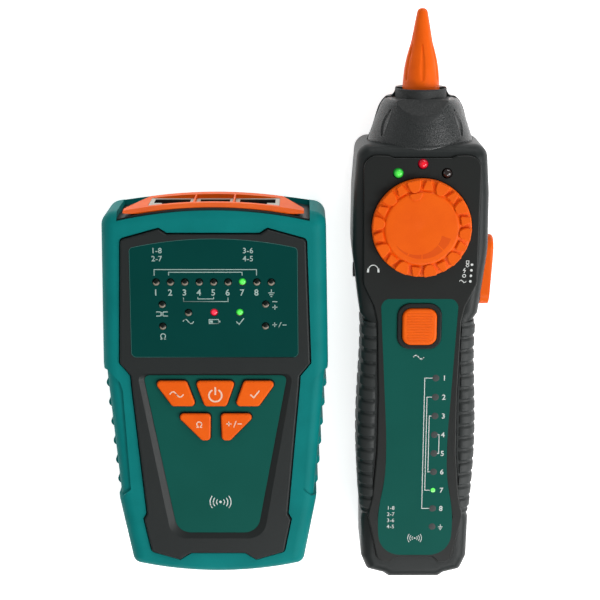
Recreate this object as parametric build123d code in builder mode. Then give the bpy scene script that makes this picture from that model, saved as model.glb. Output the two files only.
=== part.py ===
"""Tone probe kit: a transmitter and a receiver lying side by side on their backs.

Units are millimetres. X runs to the right, Y towards the sockets and the probe tip,
Z up out of the front faces. The origin is the middle of the kit at table height.
Each unit is drawn in its own plane, whose origin is on the unit's centre line near
its lower end, so every x below is measured from that centre line.
"""

import os
from math import cos, hypot, pi, radians, sin

from build123d import *

os.makedirs("parts", exist_ok=True)

# ---------------------------------------------------------------- driving sizes
tx_wide = 75.8  # transmitter over its jacket
tx_long = 131.0  # transmitter, lower edge to socket panel
tx_thick = 28.0
rx_wide = 44.6  # receiver over its body
rx_body_long = 152.0  # receiver body without the nose
rx_nose_long = 42.4  # nose, collar and probe tip beyond the body
rx_thick = 29.0
unit_gap = 7.7  # free table between the two units

wall = 2.0  # case walls
jacket_wall = 2.2  # rubber jacket
fit_gap = 0.3  # round every moving piece
slip = 0.1  # between a fixed piece and its seat

battery_size = (26.5, 48.5, 17.5)  # 9 V block
board_thick = 1.6
jack_high = 13.2  # socket housings, standard sizes
jack_deep = 16.0
rj45_wide = 14.7
rj45_mouth = (11.9, 6.8)
rj11_wide = 12.4
rj11_mouth = (9.9, 6.8)
button_travel = 0.7
slider_step = 1.87  # between two neighbouring mode positions
slider_up = 1  # positions above the one it rests in
slider_down = 2  # positions below it

# ------------------------------------------------------------- where units stand
rx_knob_out = 2.5  # mode slider beyond the body
kit_wide = tx_wide + unit_gap + rx_wide + rx_knob_out
tx_x = -kit_wide / 2 + tx_wide / 2
rx_x = kit_wide / 2 - rx_knob_out - rx_wide / 2
rx_long = rx_body_long + rx_nose_long
rx_y = -rx_long / 2
tx_y = rx_y + 1.6
TX = Plane(origin=(tx_x, tx_y, 0))
RX = Plane(origin=(rx_x, rx_y, 0))


def tx_pt(x, y):
    """A point of the transmitter, drawn at its usual size and stretched to this one."""
    return (x * tx_wide / 75.8, y * tx_long / 131.0)


def rx_pt(x, y):
    """A point of the receiver body, stretched the same way."""
    return (x * rx_wide / 44.6, y * rx_body_long / 152.0)


def end_plane(base, x, y, z):
    """A plane square to Y, with its own y up, facing the lower end."""
    return Plane(origin=base.from_local_coords(Vector(x, y, z)), x_dir=(1, 0, 0), z_dir=(0, -1, 0))


def side_plane(base, x, y, z):
    """A plane square to X, facing right: its x runs along Y and its y up."""
    return Plane(origin=base.from_local_coords(Vector(x, y, z)), x_dir=(0, 1, 0), z_dir=(1, 0, 0))


def outline(right_side, top_middle=None, bottom_middle=None):
    """Closed mirrored outline: right_side is its right half, from the bottom up."""
    left_side = [(-x, y) for x, y in reversed(right_side)]
    with BuildLine() as lines:
        Polyline(*right_side)
        Polyline(*left_side)
        if top_middle is None:
            Line(right_side[-1], left_side[0])
        else:
            ThreePointArc(right_side[-1], top_middle, left_side[0])
        if bottom_middle is None:
            Line(left_side[-1], right_side[0])
        else:
            ThreePointArc(left_side[-1], bottom_middle, right_side[0])
    make_face(lines.edges())


def round_corners(points, radius):
    """Round the corners of the sketch at these points and at their mirror images."""
    found = [v for v in vertices() if any(hypot(abs(v.X) - x, v.Y - y) < 0.05 for x, y in points)]
    fillet(found, radius)


def save(part, label):
    part.label = label
    export_step(part, "parts/" + label + ".step")


# =================================================================== TRANSMITTER
jacket_front = tx_thick - 1.0
case_top = tx_thick - 3.2
case_back = 1.6
cover_split = 13.0
tx_board_top = case_top - wall
tx_board_low = tx_board_top - board_thick
tx_jack_low = tx_board_low - jack_high
plate_under = tx_thick - 2.2  # underside of the raised front
recess_floor = tx_thick - 1.0

jacket_side = [tx_pt(29.6, 3.2), tx_pt(34.0, 27.0), tx_pt(37.9, 76.0), tx_pt(36.9, 127.2)]
jacket_top_mid = tx_pt(0, 130.6)
jacket_low_mid = tx_pt(0, -0.3)


def jacket_outline():
    outline(jacket_side, jacket_top_mid, jacket_low_mid)
    round_corners(jacket_side[:1], 3.0)
    round_corners(jacket_side[1:3], 12.0)
    round_corners(jacket_side[3:], 4.5)


def case_outline(inset):
    jacket_outline()
    offset(amount=-inset)


front_side = [
    tx_pt(9.3, 7.9),
    tx_pt(13.2, 5.4),
    tx_pt(23.1, 8.4),
    tx_pt(25.5, 20.7),
    tx_pt(24.4, 22.8),
    tx_pt(28.3, 68.9),
    tx_pt(28.5, 72.4),
    tx_pt(32.1, 76.9),
    tx_pt(31.8, 85.0),
    tx_pt(30.6, 119.4),
    tx_pt(17.8, 123.0),
    tx_pt(15.2, 121.3),
]


def front_outline(inset):
    """Outline of the raised front, seen through the opening of the jacket."""
    outline(front_side)
    round_corners([front_side[2]], 1.6)
    round_corners([front_side[9]], 1.6)
    offset(amount=-inset)


back_side = [tx_pt(21.0, 8.5), tx_pt(27.0, 72.0), tx_pt(29.0, 80.0), tx_pt(28.6, 117.0)]


def back_outline(inset):
    outline(back_side)
    round_corners(back_side[:1] + back_side[3:], 4.0)
    if inset:
        offset(amount=-inset)


# lamps and buttons of the transmitter
lamp_pitch = 4.74
row_lamps = [tx_pt(lamp_pitch * (i - 4), 105.1) for i in range(9)]
lit_lamps = [row_lamps[6], tx_pt(8.5, 94.7)]
power_lamp = [tx_pt(0, 94.7)]
sign_lamps = [tx_pt(-17.1, 97.5), tx_pt(-17.1, 90.0), tx_pt(-8.5, 94.7), tx_pt(17.1, 97.6)]
sign_lamps.append(tx_pt(17.0, 90.1))
dark_lamps = [p for i, p in enumerate(row_lamps) if i != 6] + sign_lamps
tx_lamps = dark_lamps + lit_lamps + power_lamp

scan_corners = [tx_pt(-20.9, 71.1), tx_pt(-9.6, 71.1), tx_pt(-6.4, 62.0), tx_pt(-14.6, 62.0)]
power_corners = [tx_pt(-6.9, 71.1), tx_pt(6.9, 71.1), tx_pt(3.7, 62.0), tx_pt(-3.7, 62.0)]
ohm_corners = [tx_pt(-14.0, 59.5), tx_pt(-1.6, 59.5), tx_pt(-1.9, 49.8), tx_pt(-4.8, 49.8)]
test_corners = [(-x, y) for x, y in reversed(scan_corners)]
polarity_corners = [(-x, y) for x, y in reversed(ohm_corners)]
tx_buttons = {
    "tx_scan_button": scan_corners,
    "tx_power_button": power_corners,
    "tx_test_button": test_corners,
    "tx_ohm_button": ohm_corners,
    "tx_polarity_button": polarity_corners,
}
button_round = 1.4


def middle(corners):
    return (sum(x for x, _ in corners) / len(corners), sum(y for _, y in corners) / len(corners))


def button_shape(corners, grow=0.0):
    with BuildSketch(mode=Mode.PRIVATE) as shape:
        with BuildLine():
            Polyline(*corners, close=True)
        make_face()
        fillet(shape.vertices(), button_round)
        if grow:
            offset(amount=grow)
    add(shape.sketch)


# ------------------------------------------------------------- rubber jacket
grip_line = [
    tx_pt(50, 74.6),
    tx_pt(36.2, 74.2),
    tx_pt(32.0, 70.0),
    tx_pt(31.2, 66.8),
    tx_pt(29.6, 31.4),
    tx_pt(32.3, 28.9),
    tx_pt(50, 26.0),
]
grip_deep = 0.9
rib_count = 6
rib_pitch = tx_pt(0, 7.0)[1]
rib_first = tx_pt(0, 33.2)[1]
lip_middle = tx_pt(0, 128.7)
lip_end = tx_pt(31.6, 125.2)

with BuildPart() as jacket_core:
    with BuildSketch(TX.offset(grip_deep)):
        case_outline(grip_deep)
    extrude(amount=jacket_front - 2 * grip_deep)
    core_ends = jacket_core.faces().filter_by(Axis.Z)
    fillet(core_ends.edges(), 3.6)

with BuildPart() as grip_zone:
    for side in (-1, 1):
        with BuildSketch(TX):
            with BuildLine():
                Polyline(*[(side * x, y) for x, y in grip_line], close=True)
            make_face()
        extrude(amount=tx_thick)

with BuildPart() as grip_skin:
    add(jacket_core.part)
    add(grip_zone.part, mode=Mode.INTERSECT)

with BuildPart() as tx_grip_jacket:
    with BuildSketch(TX):
        jacket_outline()
    extrude(amount=jacket_front)
    jacket_ends = tx_grip_jacket.faces().filter_by(Axis.Z)
    fillet(jacket_ends.sort_by(Axis.Z)[-1].edges(), 4.5)
    fillet(tx_grip_jacket.faces().sort_by(Axis.Z)[0].edges(), 4.0)
    add(grip_zone.part, mode=Mode.SUBTRACT)
    add(grip_skin.part)
    # ribs stand out of the sunk sides, between the front and back roundings
    for i in range(rib_count):
        rib_y = rib_first + i * rib_pitch
        lean = (jacket_side[2][0] - jacket_side[1][0]) / (jacket_side[2][1] - jacket_side[1][1])
        rib_x = jacket_side[1][0] + (rib_y - jacket_side[1][1]) * lean
        with BuildSketch(TX.offset(6.0)):
            with Locations((rib_x - grip_deep - 0.5, rib_y), (-rib_x + grip_deep + 0.5, rib_y)):
                Ellipse(1.55, 1.7)
        extrude(amount=tx_thick - 13.0)
    # room for the case
    with BuildSketch(TX.offset(case_back)):
        case_outline(jacket_wall)
    extrude(amount=case_top - case_back, mode=Mode.SUBTRACT)
    # front and back openings
    with BuildSketch(TX.offset(case_top)):
        front_outline(-0.15)
    extrude(amount=tx_thick, mode=Mode.SUBTRACT)
    with BuildSketch(TX.offset(-1.0)):
        back_outline(-slip)
    extrude(amount=case_back + 1.0, mode=Mode.SUBTRACT)
    # the end is cut away round the socket panel, and less deep above the case
    with BuildSketch(TX.offset(2.4)):
        with Locations((0, tx_long)):
            Rectangle(2 * lip_end[0], 20)
    extrude(amount=case_top - 2.4, mode=Mode.SUBTRACT)
    with BuildSketch(TX.offset(case_top)):
        with BuildLine():
            ThreePointArc((-lip_end[0], lip_end[1]), lip_middle, lip_end)
            Polyline(lip_end, (lip_end[0], tx_long + 9), (-lip_end[0], tx_long + 9), (-lip_end[0], lip_end[1]))
        make_face()
    extrude(amount=tx_thick, mode=Mode.SUBTRACT)
save(tx_grip_jacket.part, "tx_grip_jacket")

# ------------------------------------------------------------- case
frame_end = [(tx_pt(31.6, 0)[0] - 0.3, tx_pt(0, 125.9)[1]), tx_pt(0, 129.45)]  # end frame behind the socket panel
panel_half = tx_pt(29.7, 0)[0]
panel_back = tx_pt(0, 127.4)[1]
panel_top = tx_thick - 2.6
panel_low = 3.4
rim_low = case_top - 1.0  # underside of the raised rim above the socket panel
jack_rows = {"left": (-14.25, rj45_wide), "middle": (0.0, rj11_wide), "right": (14.25, rj45_wide)}
jack_face = tx_pt(0, 129.3)[1]
post_x = 4 * lamp_pitch + 6.34  # upper screw posts, beside the row of nine lamps
screw_spots = [tx_pt(post_x, 108.0), tx_pt(-post_x, 108.0), tx_pt(17.8, 14.6), tx_pt(-17.8, 14.6)]
tx_battery_y = tx_pt(0, 20.0)[1]
door_half = battery_size[0] / 2 + 2.2
door_low = tx_battery_y - 3.0
door_high = tx_battery_y + battery_size[1] + 3.0


def panel_arc(middle_y, half, sag, low):
    """Area between a straight back and a shallow arc, the plan of the end pieces."""
    with BuildLine() as lines:
        ThreePointArc((half, middle_y - sag), (0, middle_y), (-half, middle_y - sag))
        Polyline((-half, middle_y - sag), (-half, low), (half, low), (half, middle_y - sag))
    make_face(lines.edges())


with BuildPart() as tx_case:
    with BuildSketch(TX.offset(case_back)):
        case_outline(jacket_wall + slip)
    extrude(amount=case_top - case_back - slip)
    fillet(tx_case.faces().sort_by(Axis.Z)[-1].edges(), 1.0)
    with BuildSketch(TX.offset(2.6)):
        panel_arc(frame_end[1][1], lip_end[0] - 0.3, frame_end[1][1] - frame_end[0][1], tx_pt(0, 118)[1])
    extrude(amount=case_top - slip - 2.6)
    with BuildSketch(TX.offset(case_back + wall)):
        case_outline(jacket_wall + slip + wall)
    extrude(amount=case_top - case_back - 2 * wall, mode=Mode.SUBTRACT)
    # raised rim between the lip of the jacket and the socket panel
    with BuildSketch(TX.offset(rim_low)):
        with BuildLine():
            rim_half = lip_end[0] - 0.3
            ThreePointArc((-rim_half, lip_end[1] + 0.2), (0, lip_middle[1] + slip), (rim_half, lip_end[1] + 0.2))
            Line((rim_half, lip_end[1] + 0.2), frame_end[0])
            ThreePointArc(frame_end[0], frame_end[1], (-frame_end[0][0], frame_end[0][1]))
            Line((-frame_end[0][0], frame_end[0][1]), (-rim_half, lip_end[1] + 0.2))
        make_face()
    extrude(amount=tx_thick - 2.0 - rim_low)
    # mouth for the jacks and the seat of the socket panel
    with BuildSketch(end_plane(TX, 0, tx_pt(0, 120)[1], tx_jack_low + jack_high / 2)):
        RectangleRounded(2 * (14.25 + rj45_wide / 2 + slip), jack_high + 2 * slip, 0.4)
    extrude(amount=-20, mode=Mode.SUBTRACT)
    with BuildSketch(TX.offset(panel_low)):
        with Locations((0, panel_back + 10)):
            Rectangle(2 * (panel_half + slip), 20)
    extrude(amount=rim_low - panel_low, mode=Mode.SUBTRACT)

with BuildPart() as tx_front_cover:
    add(tx_case.part)
    split(bisect_by=Plane.XY.offset(cover_split), keep=Keep.TOP)
    with BuildSketch(TX.offset(case_top - wall)):
        front_outline(0.3)
    extrude(amount=tx_thick - case_top + wall)
    fillet(tx_front_cover.faces().sort_by(Axis.Z)[-1].edges(), 0.6)
    with BuildSketch(TX.offset(case_top - wall)):
        front_outline(2.3)
    extrude(amount=plate_under - case_top + wall, mode=Mode.SUBTRACT)
    # screw posts
    with BuildSketch(TX.offset(6.0)):
        with Locations(*screw_spots):
            Circle(3.0)
    extrude(amount=plate_under - 6.0)
    with BuildSketch(TX.offset(6.0)):
        with Locations(*screw_spots):
            Circle(1.25)
    extrude(amount=10, mode=Mode.SUBTRACT)
    # sunk keypad with sloping sides
    with BuildSketch(TX.offset(tx_thick)) as keypad_rim:
        outline([tx_pt(15.9, 13.8), tx_pt(26.1, 73.5)])
        round_corners([tx_pt(15.9, 13.8)], 6.4)
        round_corners([tx_pt(26.1, 73.5)], 2.4)
    with BuildSketch(TX.offset(recess_floor)) as keypad_floor:
        outline([tx_pt(13.8, 15.6), tx_pt(24.2, 72.8)])
        round_corners([tx_pt(13.8, 15.6)], 5.6)
        round_corners([tx_pt(24.2, 72.8)], 1.8)
    loft(sections=[keypad_rim.sketch, keypad_floor.sketch], ruled=True, mode=Mode.SUBTRACT)
    # shallow seat of the display label
    with BuildSketch(TX.offset(tx_thick - 0.3)):
        outline([tx_pt(28.0, 79.1), tx_pt(27.7, 116.6)], top_middle=tx_pt(0, 119.7))
        round_corners([tx_pt(28.0, 79.1), tx_pt(27.7, 116.6)], 1.8)
    extrude(amount=1, mode=Mode.SUBTRACT)
    # lamp windows and button holes
    with BuildSketch(TX.offset(case_top)):
        with Locations(*tx_lamps):
            Circle(1.3)
    extrude(amount=5, mode=Mode.SUBTRACT)
    for corners in tx_buttons.values():
        with BuildSketch(TX.offset(case_top)):
            button_shape(corners)
        extrude(amount=5, mode=Mode.SUBTRACT)
save(tx_front_cover.part, "tx_front_cover")

with BuildPart() as tx_rear_cover:
    add(tx_case.part)
    split(bisect_by=Plane.XY.offset(cover_split), keep=Keep.BOTTOM)
    with BuildSketch(TX.offset(0.5)):
        back_outline(0)
    extrude(amount=case_back - 0.5)
    # bosses over the recessed screw heads
    with BuildSketch(TX.offset(case_back)):
        with Locations(*screw_spots):
            Circle(4.4)
    extrude(amount=4.3)
    with BuildSketch(TX.offset(0)):
        with Locations(*screw_spots):
            Circle(3.0)
    extrude(amount=3.9, mode=Mode.SUBTRACT)
    with BuildSketch(TX.offset(3)):
        with Locations(*screw_spots):
            Circle(1.5)
    extrude(amount=5, mode=Mode.SUBTRACT)
    # battery opening with a ledge for the door, and ribs beside the battery
    with BuildSketch(TX):
        with Locations((0, (door_low + door_high) / 2)):
            RectangleRounded(2 * door_half, door_high - door_low, 1.5)
    extrude(amount=2.1, mode=Mode.SUBTRACT)
    with BuildSketch(TX):
        with Locations((0, tx_battery_y + battery_size[1] / 2)):
            Rectangle(battery_size[0] + 0.6, battery_size[1] + 0.6)
    extrude(amount=5, mode=Mode.SUBTRACT)
    with BuildSketch(TX.offset(case_back + wall)):
        for side in (-1, 1):
            with Locations((side * (battery_size[0] / 2 + 0.9), tx_battery_y + battery_size[1] / 2)):
                Rectangle(1.2, battery_size[1])
        with Locations((0, tx_battery_y - 0.9)):
            Rectangle(battery_size[0] + 3, 1.2)
    extrude(amount=7)
save(tx_rear_cover.part, "tx_rear_cover")

with BuildPart() as tx_battery_door:
    with BuildSketch(TX.offset(0.5)):
        with Locations((0, (door_low + door_high) / 2)):
            RectangleRounded(2 * (door_half - 0.15), door_high - door_low - 0.3, 1.4)
    extrude(amount=1.6)
    chamfer(tx_battery_door.faces().sort_by(Axis.Z)[0].edges(), 0.3)
    # grooves under the thumb, and the screw hole
    with BuildSketch(TX):
        with GridLocations(0, 2.4, 1, 5):
            with Locations((0, door_high - 14)):
                SlotOverall(13, 1.1)
    extrude(amount=0.9, mode=Mode.SUBTRACT)
    with BuildSketch(TX):
        with Locations((0, door_low + 4.4)):
            Circle(2.5)
    extrude(amount=1.4, mode=Mode.SUBTRACT)
save(tx_battery_door.part, "tx_battery_door")

with BuildPart() as tx_door_screw:
    with BuildSketch(TX.offset(0.7)):
        with Locations((0, door_low + 4.4)):
            Circle(2.3)
    extrude(amount=0.7)
    with BuildSketch(TX.offset(0.6)):
        with Locations((0, door_low + 4.4)):
            Rectangle(3.0, 0.6)
            Rectangle(0.6, 3.0)
    extrude(amount=0.5, mode=Mode.SUBTRACT)
save(tx_door_screw.part, "tx_door_screw")


def screws(plane, spots, head_z, head_high, tip_z):
    """Pan-head screws from the back, with a cross in each head."""
    with BuildPart() as group:
        with BuildSketch(plane.offset(head_z)):
            with Locations(*spots):
                Circle(2.7)
        extrude(amount=head_high)
        with BuildSketch(plane.offset(head_z)):
            with Locations(*spots):
                Rectangle(3.2, 0.7)
                Rectangle(0.7, 3.2)
        extrude(amount=1.0, mode=Mode.SUBTRACT)
        with BuildSketch(plane.offset(head_z + head_high)):
            with Locations(*spots):
                Circle(1.25)
        extrude(amount=tip_z - head_z - head_high)
    return group.part


save(screws(TX, screw_spots, 1.9, 2.0, 14.0), "tx_case_screws")

# ------------------------------------------------------------- labels
with BuildPart() as tx_display_label:
    with BuildSketch(TX.offset(tx_thick - 0.3)):
        outline([tx_pt(27.9, 79.2), tx_pt(27.6, 116.5)], top_middle=tx_pt(0, 119.6))
        round_corners([tx_pt(27.9, 79.2), tx_pt(27.6, 116.5)], 1.7)
        with Locations(*tx_lamps):
            Circle(1.3, mode=Mode.SUBTRACT)
    extrude(amount=0.25)
save(tx_display_label.part, "tx_display_label")

with BuildPart() as tx_keypad_label:
    with BuildSketch(TX.offset(recess_floor)):
        outline([tx_pt(13.75, 15.7), tx_pt(24.1, 72.7)])
        round_corners([tx_pt(13.75, 15.7)], 5.5)
        round_corners([tx_pt(24.1, 72.7)], 1.7)
    extrude(amount=0.25)
    for corners in tx_buttons.values():
        with BuildSketch(TX.offset(recess_floor - 1)):
            button_shape(corners)
        extrude(amount=3, mode=Mode.SUBTRACT)
save(tx_keypad_label.part, "tx_keypad_label")

# ------------------------------------------------------------- buttons and domes
dome_high = 0.4
for name, corners in tx_buttons.items():
    with BuildPart() as button:
        with BuildSketch(TX.offset(plate_under - 1.1)):
            button_shape(corners, 0.6)
        extrude(amount=0.8)
        with BuildSketch(TX.offset(plate_under - 0.5)):
            button_shape(corners, -fit_gap)
        extrude(amount=tx_thick + 0.3 - plate_under + 0.5)
        fillet(button.faces().sort_by(Axis.Z)[-1].edges(), 0.6)
        with BuildSketch(TX.offset(tx_board_top + dome_high + button_travel + 0.3)):
            with Locations(middle(corners)):
                Circle(1.8)
        extrude(amount=plate_under - 1.0 - tx_board_top - dome_high - button_travel - 0.3)
    save(button.part, name)

with BuildPart() as tx_key_domes:
    with BuildSketch(TX.offset(tx_board_top)):
        with Locations(*[middle(corners) for corners in tx_buttons.values()]):
            Circle(2.6)
    extrude(amount=dome_high, taper=30)
save(tx_key_domes.part, "tx_key_domes")


def lamps(plane, spots, radius, foot_z, seat_z, tip_z):
    """Round-topped lamps that stand on a board, each with a wider foot under the cover."""
    with BuildPart() as group:
        with BuildSketch(plane.offset(foot_z)):
            with Locations(*spots):
                Circle(radius)
        extrude(amount=tip_z - foot_z)
        fillet(group.edges().group_by(Axis.Z)[-1], radius - 0.1)
        with BuildSketch(plane.offset(foot_z)):
            with Locations(*spots):
                Circle(radius + 0.3)
        extrude(amount=seat_z - foot_z)
    return group.part


for label, spots in (
    ("tx_lamps_dark", dark_lamps),
    ("tx_lamps_green", lit_lamps),
    ("tx_lamp_red", power_lamp),
):
    save(lamps(TX, spots, 1.15, tx_board_top, plate_under, tx_thick), label)

# ------------------------------------------------------------- board, jacks, battery
with BuildPart() as tx_circuit_board:
    with BuildSketch(TX.offset(tx_board_low)):
        case_outline(jacket_wall + slip + wall + 0.6)
        with Locations((0, tx_long)):
            Rectangle(80, 14, mode=Mode.SUBTRACT)
        with Locations(*screw_spots):
            Circle(3.2, mode=Mode.SUBTRACT)
    extrude(amount=board_thick)
save(tx_circuit_board.part, "tx_circuit_board")

with BuildPart() as tx_socket_panel:
    with BuildSketch(TX.offset(panel_low + slip)):
        panel_arc(tx_long - 0.2, panel_half, 2.7, panel_back)
    extrude(amount=panel_top - panel_low - slip)
    # stepped forward under the raised rim of the case
    with BuildSketch(TX.offset(rim_low - slip)):
        frame_sag = frame_end[1][1] - frame_end[0][1]
        panel_arc(frame_end[1][1] + slip, frame_end[0][0], frame_sag, panel_back - 5)
    extrude(amount=tx_thick, mode=Mode.SUBTRACT)
    # the ends are cut back towards the table side
    with BuildSketch(end_plane(TX, 0, 0, 0)):
        with BuildLine():
            Polyline(
                (-panel_half, panel_top),
                (panel_half, panel_top),
                (panel_half, 19.5),
                (22.5, panel_low),
                (-22.5, panel_low),
                (-panel_half, 19.5),
                close=True,
            )
        make_face()
    extrude(amount=-tx_long - 20, mode=Mode.INTERSECT)
    panel_front = tx_socket_panel.faces().sort_by(Axis.Z)[-1]
    chamfer(panel_front.edges().sort_by(Axis.Y)[-1], length=1.9, length2=1.1)
    for middle_x, width in jack_rows.values():
        with BuildSketch(end_plane(TX, middle_x, 0, tx_jack_low + jack_high / 2)):
            Rectangle(width + 2 * slip, jack_high + 2 * slip)
        extrude(amount=-tx_long - 20, mode=Mode.SUBTRACT)
save(tx_socket_panel.part, "tx_socket_panel")


def jack(plane, middle_x, face_y, low_z, width, mouth, toward):
    """Modular socket: housing with a stepped mouth. toward is +1 when it faces +Y."""
    mouth_wide, mouth_high = mouth
    with BuildPart() as housing:
        with BuildSketch(end_plane(plane, middle_x, face_y, low_z + jack_high / 2)):
            Rectangle(width, jack_high)
        extrude(amount=toward * jack_deep)
        mouth_z = low_z + 1.6 + mouth_high / 2
        with BuildSketch(end_plane(plane, middle_x, face_y, mouth_z)):
            Rectangle(mouth_wide, mouth_high)
            with Locations((0, mouth_high / 2 + 0.8)):
                Rectangle(6.4, 1.6)
            with Locations((0, mouth_high / 2 + 2.0)):
                Rectangle(4.4, 1.6)
        extrude(amount=toward * (jack_deep - 2.5), mode=Mode.SUBTRACT)
    return housing.part


def jack_contacts(plane, middle_x, face_y, low_z, count, toward):
    """Spring contacts: a row of thin wires sloping across the mouth."""
    with BuildPart() as group:
        for i in range(count):
            x = middle_x + (i - (count - 1) / 2) * 1.02
            with BuildSketch(side_plane(plane, x - 0.2, face_y, low_z)):
                with BuildLine():
                    Polyline(
                        (-toward * 3.0, 1.6),
                        (-toward * 13.5, 5.4),
                        (-toward * 13.5, 4.9),
                        (-toward * 4.6, 1.6),
                        close=True,
                    )
                make_face()
            extrude(amount=0.4)
    return group.part


for side, (middle_x, width) in jack_rows.items():
    mouth = rj11_mouth if side == "middle" else rj45_mouth
    housing = jack(TX, middle_x, jack_face, tx_jack_low, width, mouth, 1)
    save(housing, "tx_" + side + "_jack")
with BuildPart() as tx_jack_contacts:
    for side, (middle_x, width) in jack_rows.items():
        count = 6 if side == "middle" else 8
        add(jack_contacts(TX, middle_x, jack_face, tx_jack_low, count, 1))
save(tx_jack_contacts.part, "tx_jack_contacts")


def battery(plane, low_y, low_z):
    with BuildPart() as block:
        with BuildSketch(plane.offset(low_z)):
            with Locations((0, low_y + battery_size[1] / 2)):
                RectangleRounded(battery_size[0], battery_size[1], 1.2)
        extrude(amount=battery_size[2])
        with BuildSketch(end_plane(plane, 0, low_y + battery_size[1], low_z + battery_size[2] / 2)):
            with Locations((-6.35, 0), (6.35, 0)):
                Circle(3.2)
        extrude(amount=-2.6)
    return block.part


def battery_snap(plane, low_y, low_z):
    """Clip across the two battery studs."""
    top_y = low_y + battery_size[1]
    with BuildPart() as clip:
        with BuildSketch(end_plane(plane, 0, top_y + 0.3, low_z + battery_size[2] / 2)):
            RectangleRounded(25, 12, 2)
            with Locations((-6.35, 0), (6.35, 0)):
                Circle(3.2, mode=Mode.SUBTRACT)
        extrude(amount=-3.2)
    return clip.part


save(battery(TX, tx_battery_y, 2.6), "tx_battery")
save(battery_snap(TX, tx_battery_y, 2.6), "tx_battery_snap")

# ====================================================================== RECEIVER
shell_front = rx_thick - 0.9
shell_split = 14.5
nose_z = shell_split
plate_low = rx_thick - 2.2
rx_board_top = rx_thick - 5.6
rx_board_low = rx_board_top - board_thick
rx_jack_low = rx_board_low - jack_high
slider_y = rx_pt(0, 108.5)[1]
slider_z = rx_board_low - 4.3
slider_floor = rx_wide / 2 - 1.8  # flat pocket that the slider runs in
dial_radius = 16.2
dial_spot = (0, rx_pt(0, 141.4)[1] - dial_radius)  # its edge stays below the signal lamps
push_spot = rx_pt(0, 91.9)

body_side = [
    rx_pt(8.6, 0.0),
    rx_pt(10.6, 1.4),
    rx_pt(16.2, 2.9),
    rx_pt(18.3, 8.0),
    rx_pt(18.5, 22.5),
    rx_pt(18.0, 24.0),
    rx_pt(18.6, 50.0),
    rx_pt(17.9, 93.0),
    rx_pt(19.6, 95.6),
    rx_pt(22.3, 117.0),
    rx_pt(22.1, 136.0),
    rx_pt(20.9, 152.0),
]


def body_outline(inset):
    outline(body_side)
    round_corners([body_side[2]], 1.5)
    round_corners([body_side[3]], 2.5)
    round_corners([body_side[6]], 60)
    round_corners([body_side[9]], 40)
    round_corners([body_side[10]], 20)
    round_corners([body_side[11]], 4.6)
    if inset:
        offset(amount=-inset)


plate_side = [
    rx_pt(6.4, 8.8),
    rx_pt(8.3, 6.8),
    rx_pt(11.4, 7.2),
    rx_pt(13.0, 8.6),
    rx_pt(16.3, 24.4),
    rx_pt(14.8, 31.6),
    rx_pt(13.5, 47.4),
    rx_pt(13.3, 67.0),
    rx_pt(14.0, 93.2),
    rx_pt(15.1, 98.4),
    rx_pt(18.8, 106.3),
    rx_pt(19.1, 148.9),
    rx_pt(10.9, 148.7),
    rx_pt(9.4, 148.0),
]


def plate_outline(inset):
    outline(plate_side)
    round_corners([plate_side[4]], 3)
    round_corners([plate_side[6], plate_side[7]], 30)
    round_corners([plate_side[9], plate_side[10]], 4)
    round_corners([plate_side[11]], 4.6)
    if inset:
        offset(amount=-inset)


label_side = [
    rx_pt(5.6, 9.7),
    rx_pt(11.6, 16.4),
    rx_pt(12.9, 24.4),
    rx_pt(10.3, 40.0),
    rx_pt(10.3, 56.0),
    rx_pt(12.7, 98.6),
    rx_pt(11.2, 101.1),
]


def label_outline(grow):
    outline(label_side)
    round_corners([label_side[0]], 2)
    round_corners([label_side[2]], 4)
    round_corners([label_side[3], label_side[4]], 30)
    round_corners(label_side[5:], 1.4)
    if grow:
        offset(amount=grow)


signal_lamps = {
    "rx_lamp_green": [rx_pt(-7.9, 143.0)],
    "rx_lamp_red": [rx_pt(0, 146.0)],
    "rx_lamp_dark": [rx_pt(7.8, 143.0)],
}
map_pitch = 6.7
map_lamps = [rx_pt(5.9, 73.9 - map_pitch * i) for i in range(9)]
map_lit = [map_lamps[6]]
map_dark = [p for i, p in enumerate(map_lamps) if i != 6]
rx_screw_spots = [rx_pt(15.2, 141.5), rx_pt(-15.2, 141.5), rx_pt(11.8, 77.0), rx_pt(-11.8, 77.0)]
rx_battery_y = rx_pt(0, 21.0)[1]
rx_battery_z = 2.4
speaker_spot = rx_pt(0, 98.0)
speaker_radius = 13.0


def oval(y, half_wide, half_high):
    """One cross-section of the nose, y along the receiver."""
    with BuildSketch(end_plane(RX, 0, y, nose_z)) as section:
        Ellipse(half_wide, half_high)
    return section.sketch


def nose(inset):
    """Dome from the shoulders of the body to the foot of the collar."""
    steps = [(-6.0, 19.0, 12.9), (0.8, 17.2, 12.6), (5.6, 15.4, 12.2), (10.6, 13.9, 11.6), (14.1, 11.4, 10.6)]
    return [oval(rx_body_long + y - inset / 3, w - inset, h - inset) for y, w, h in steps]


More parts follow.
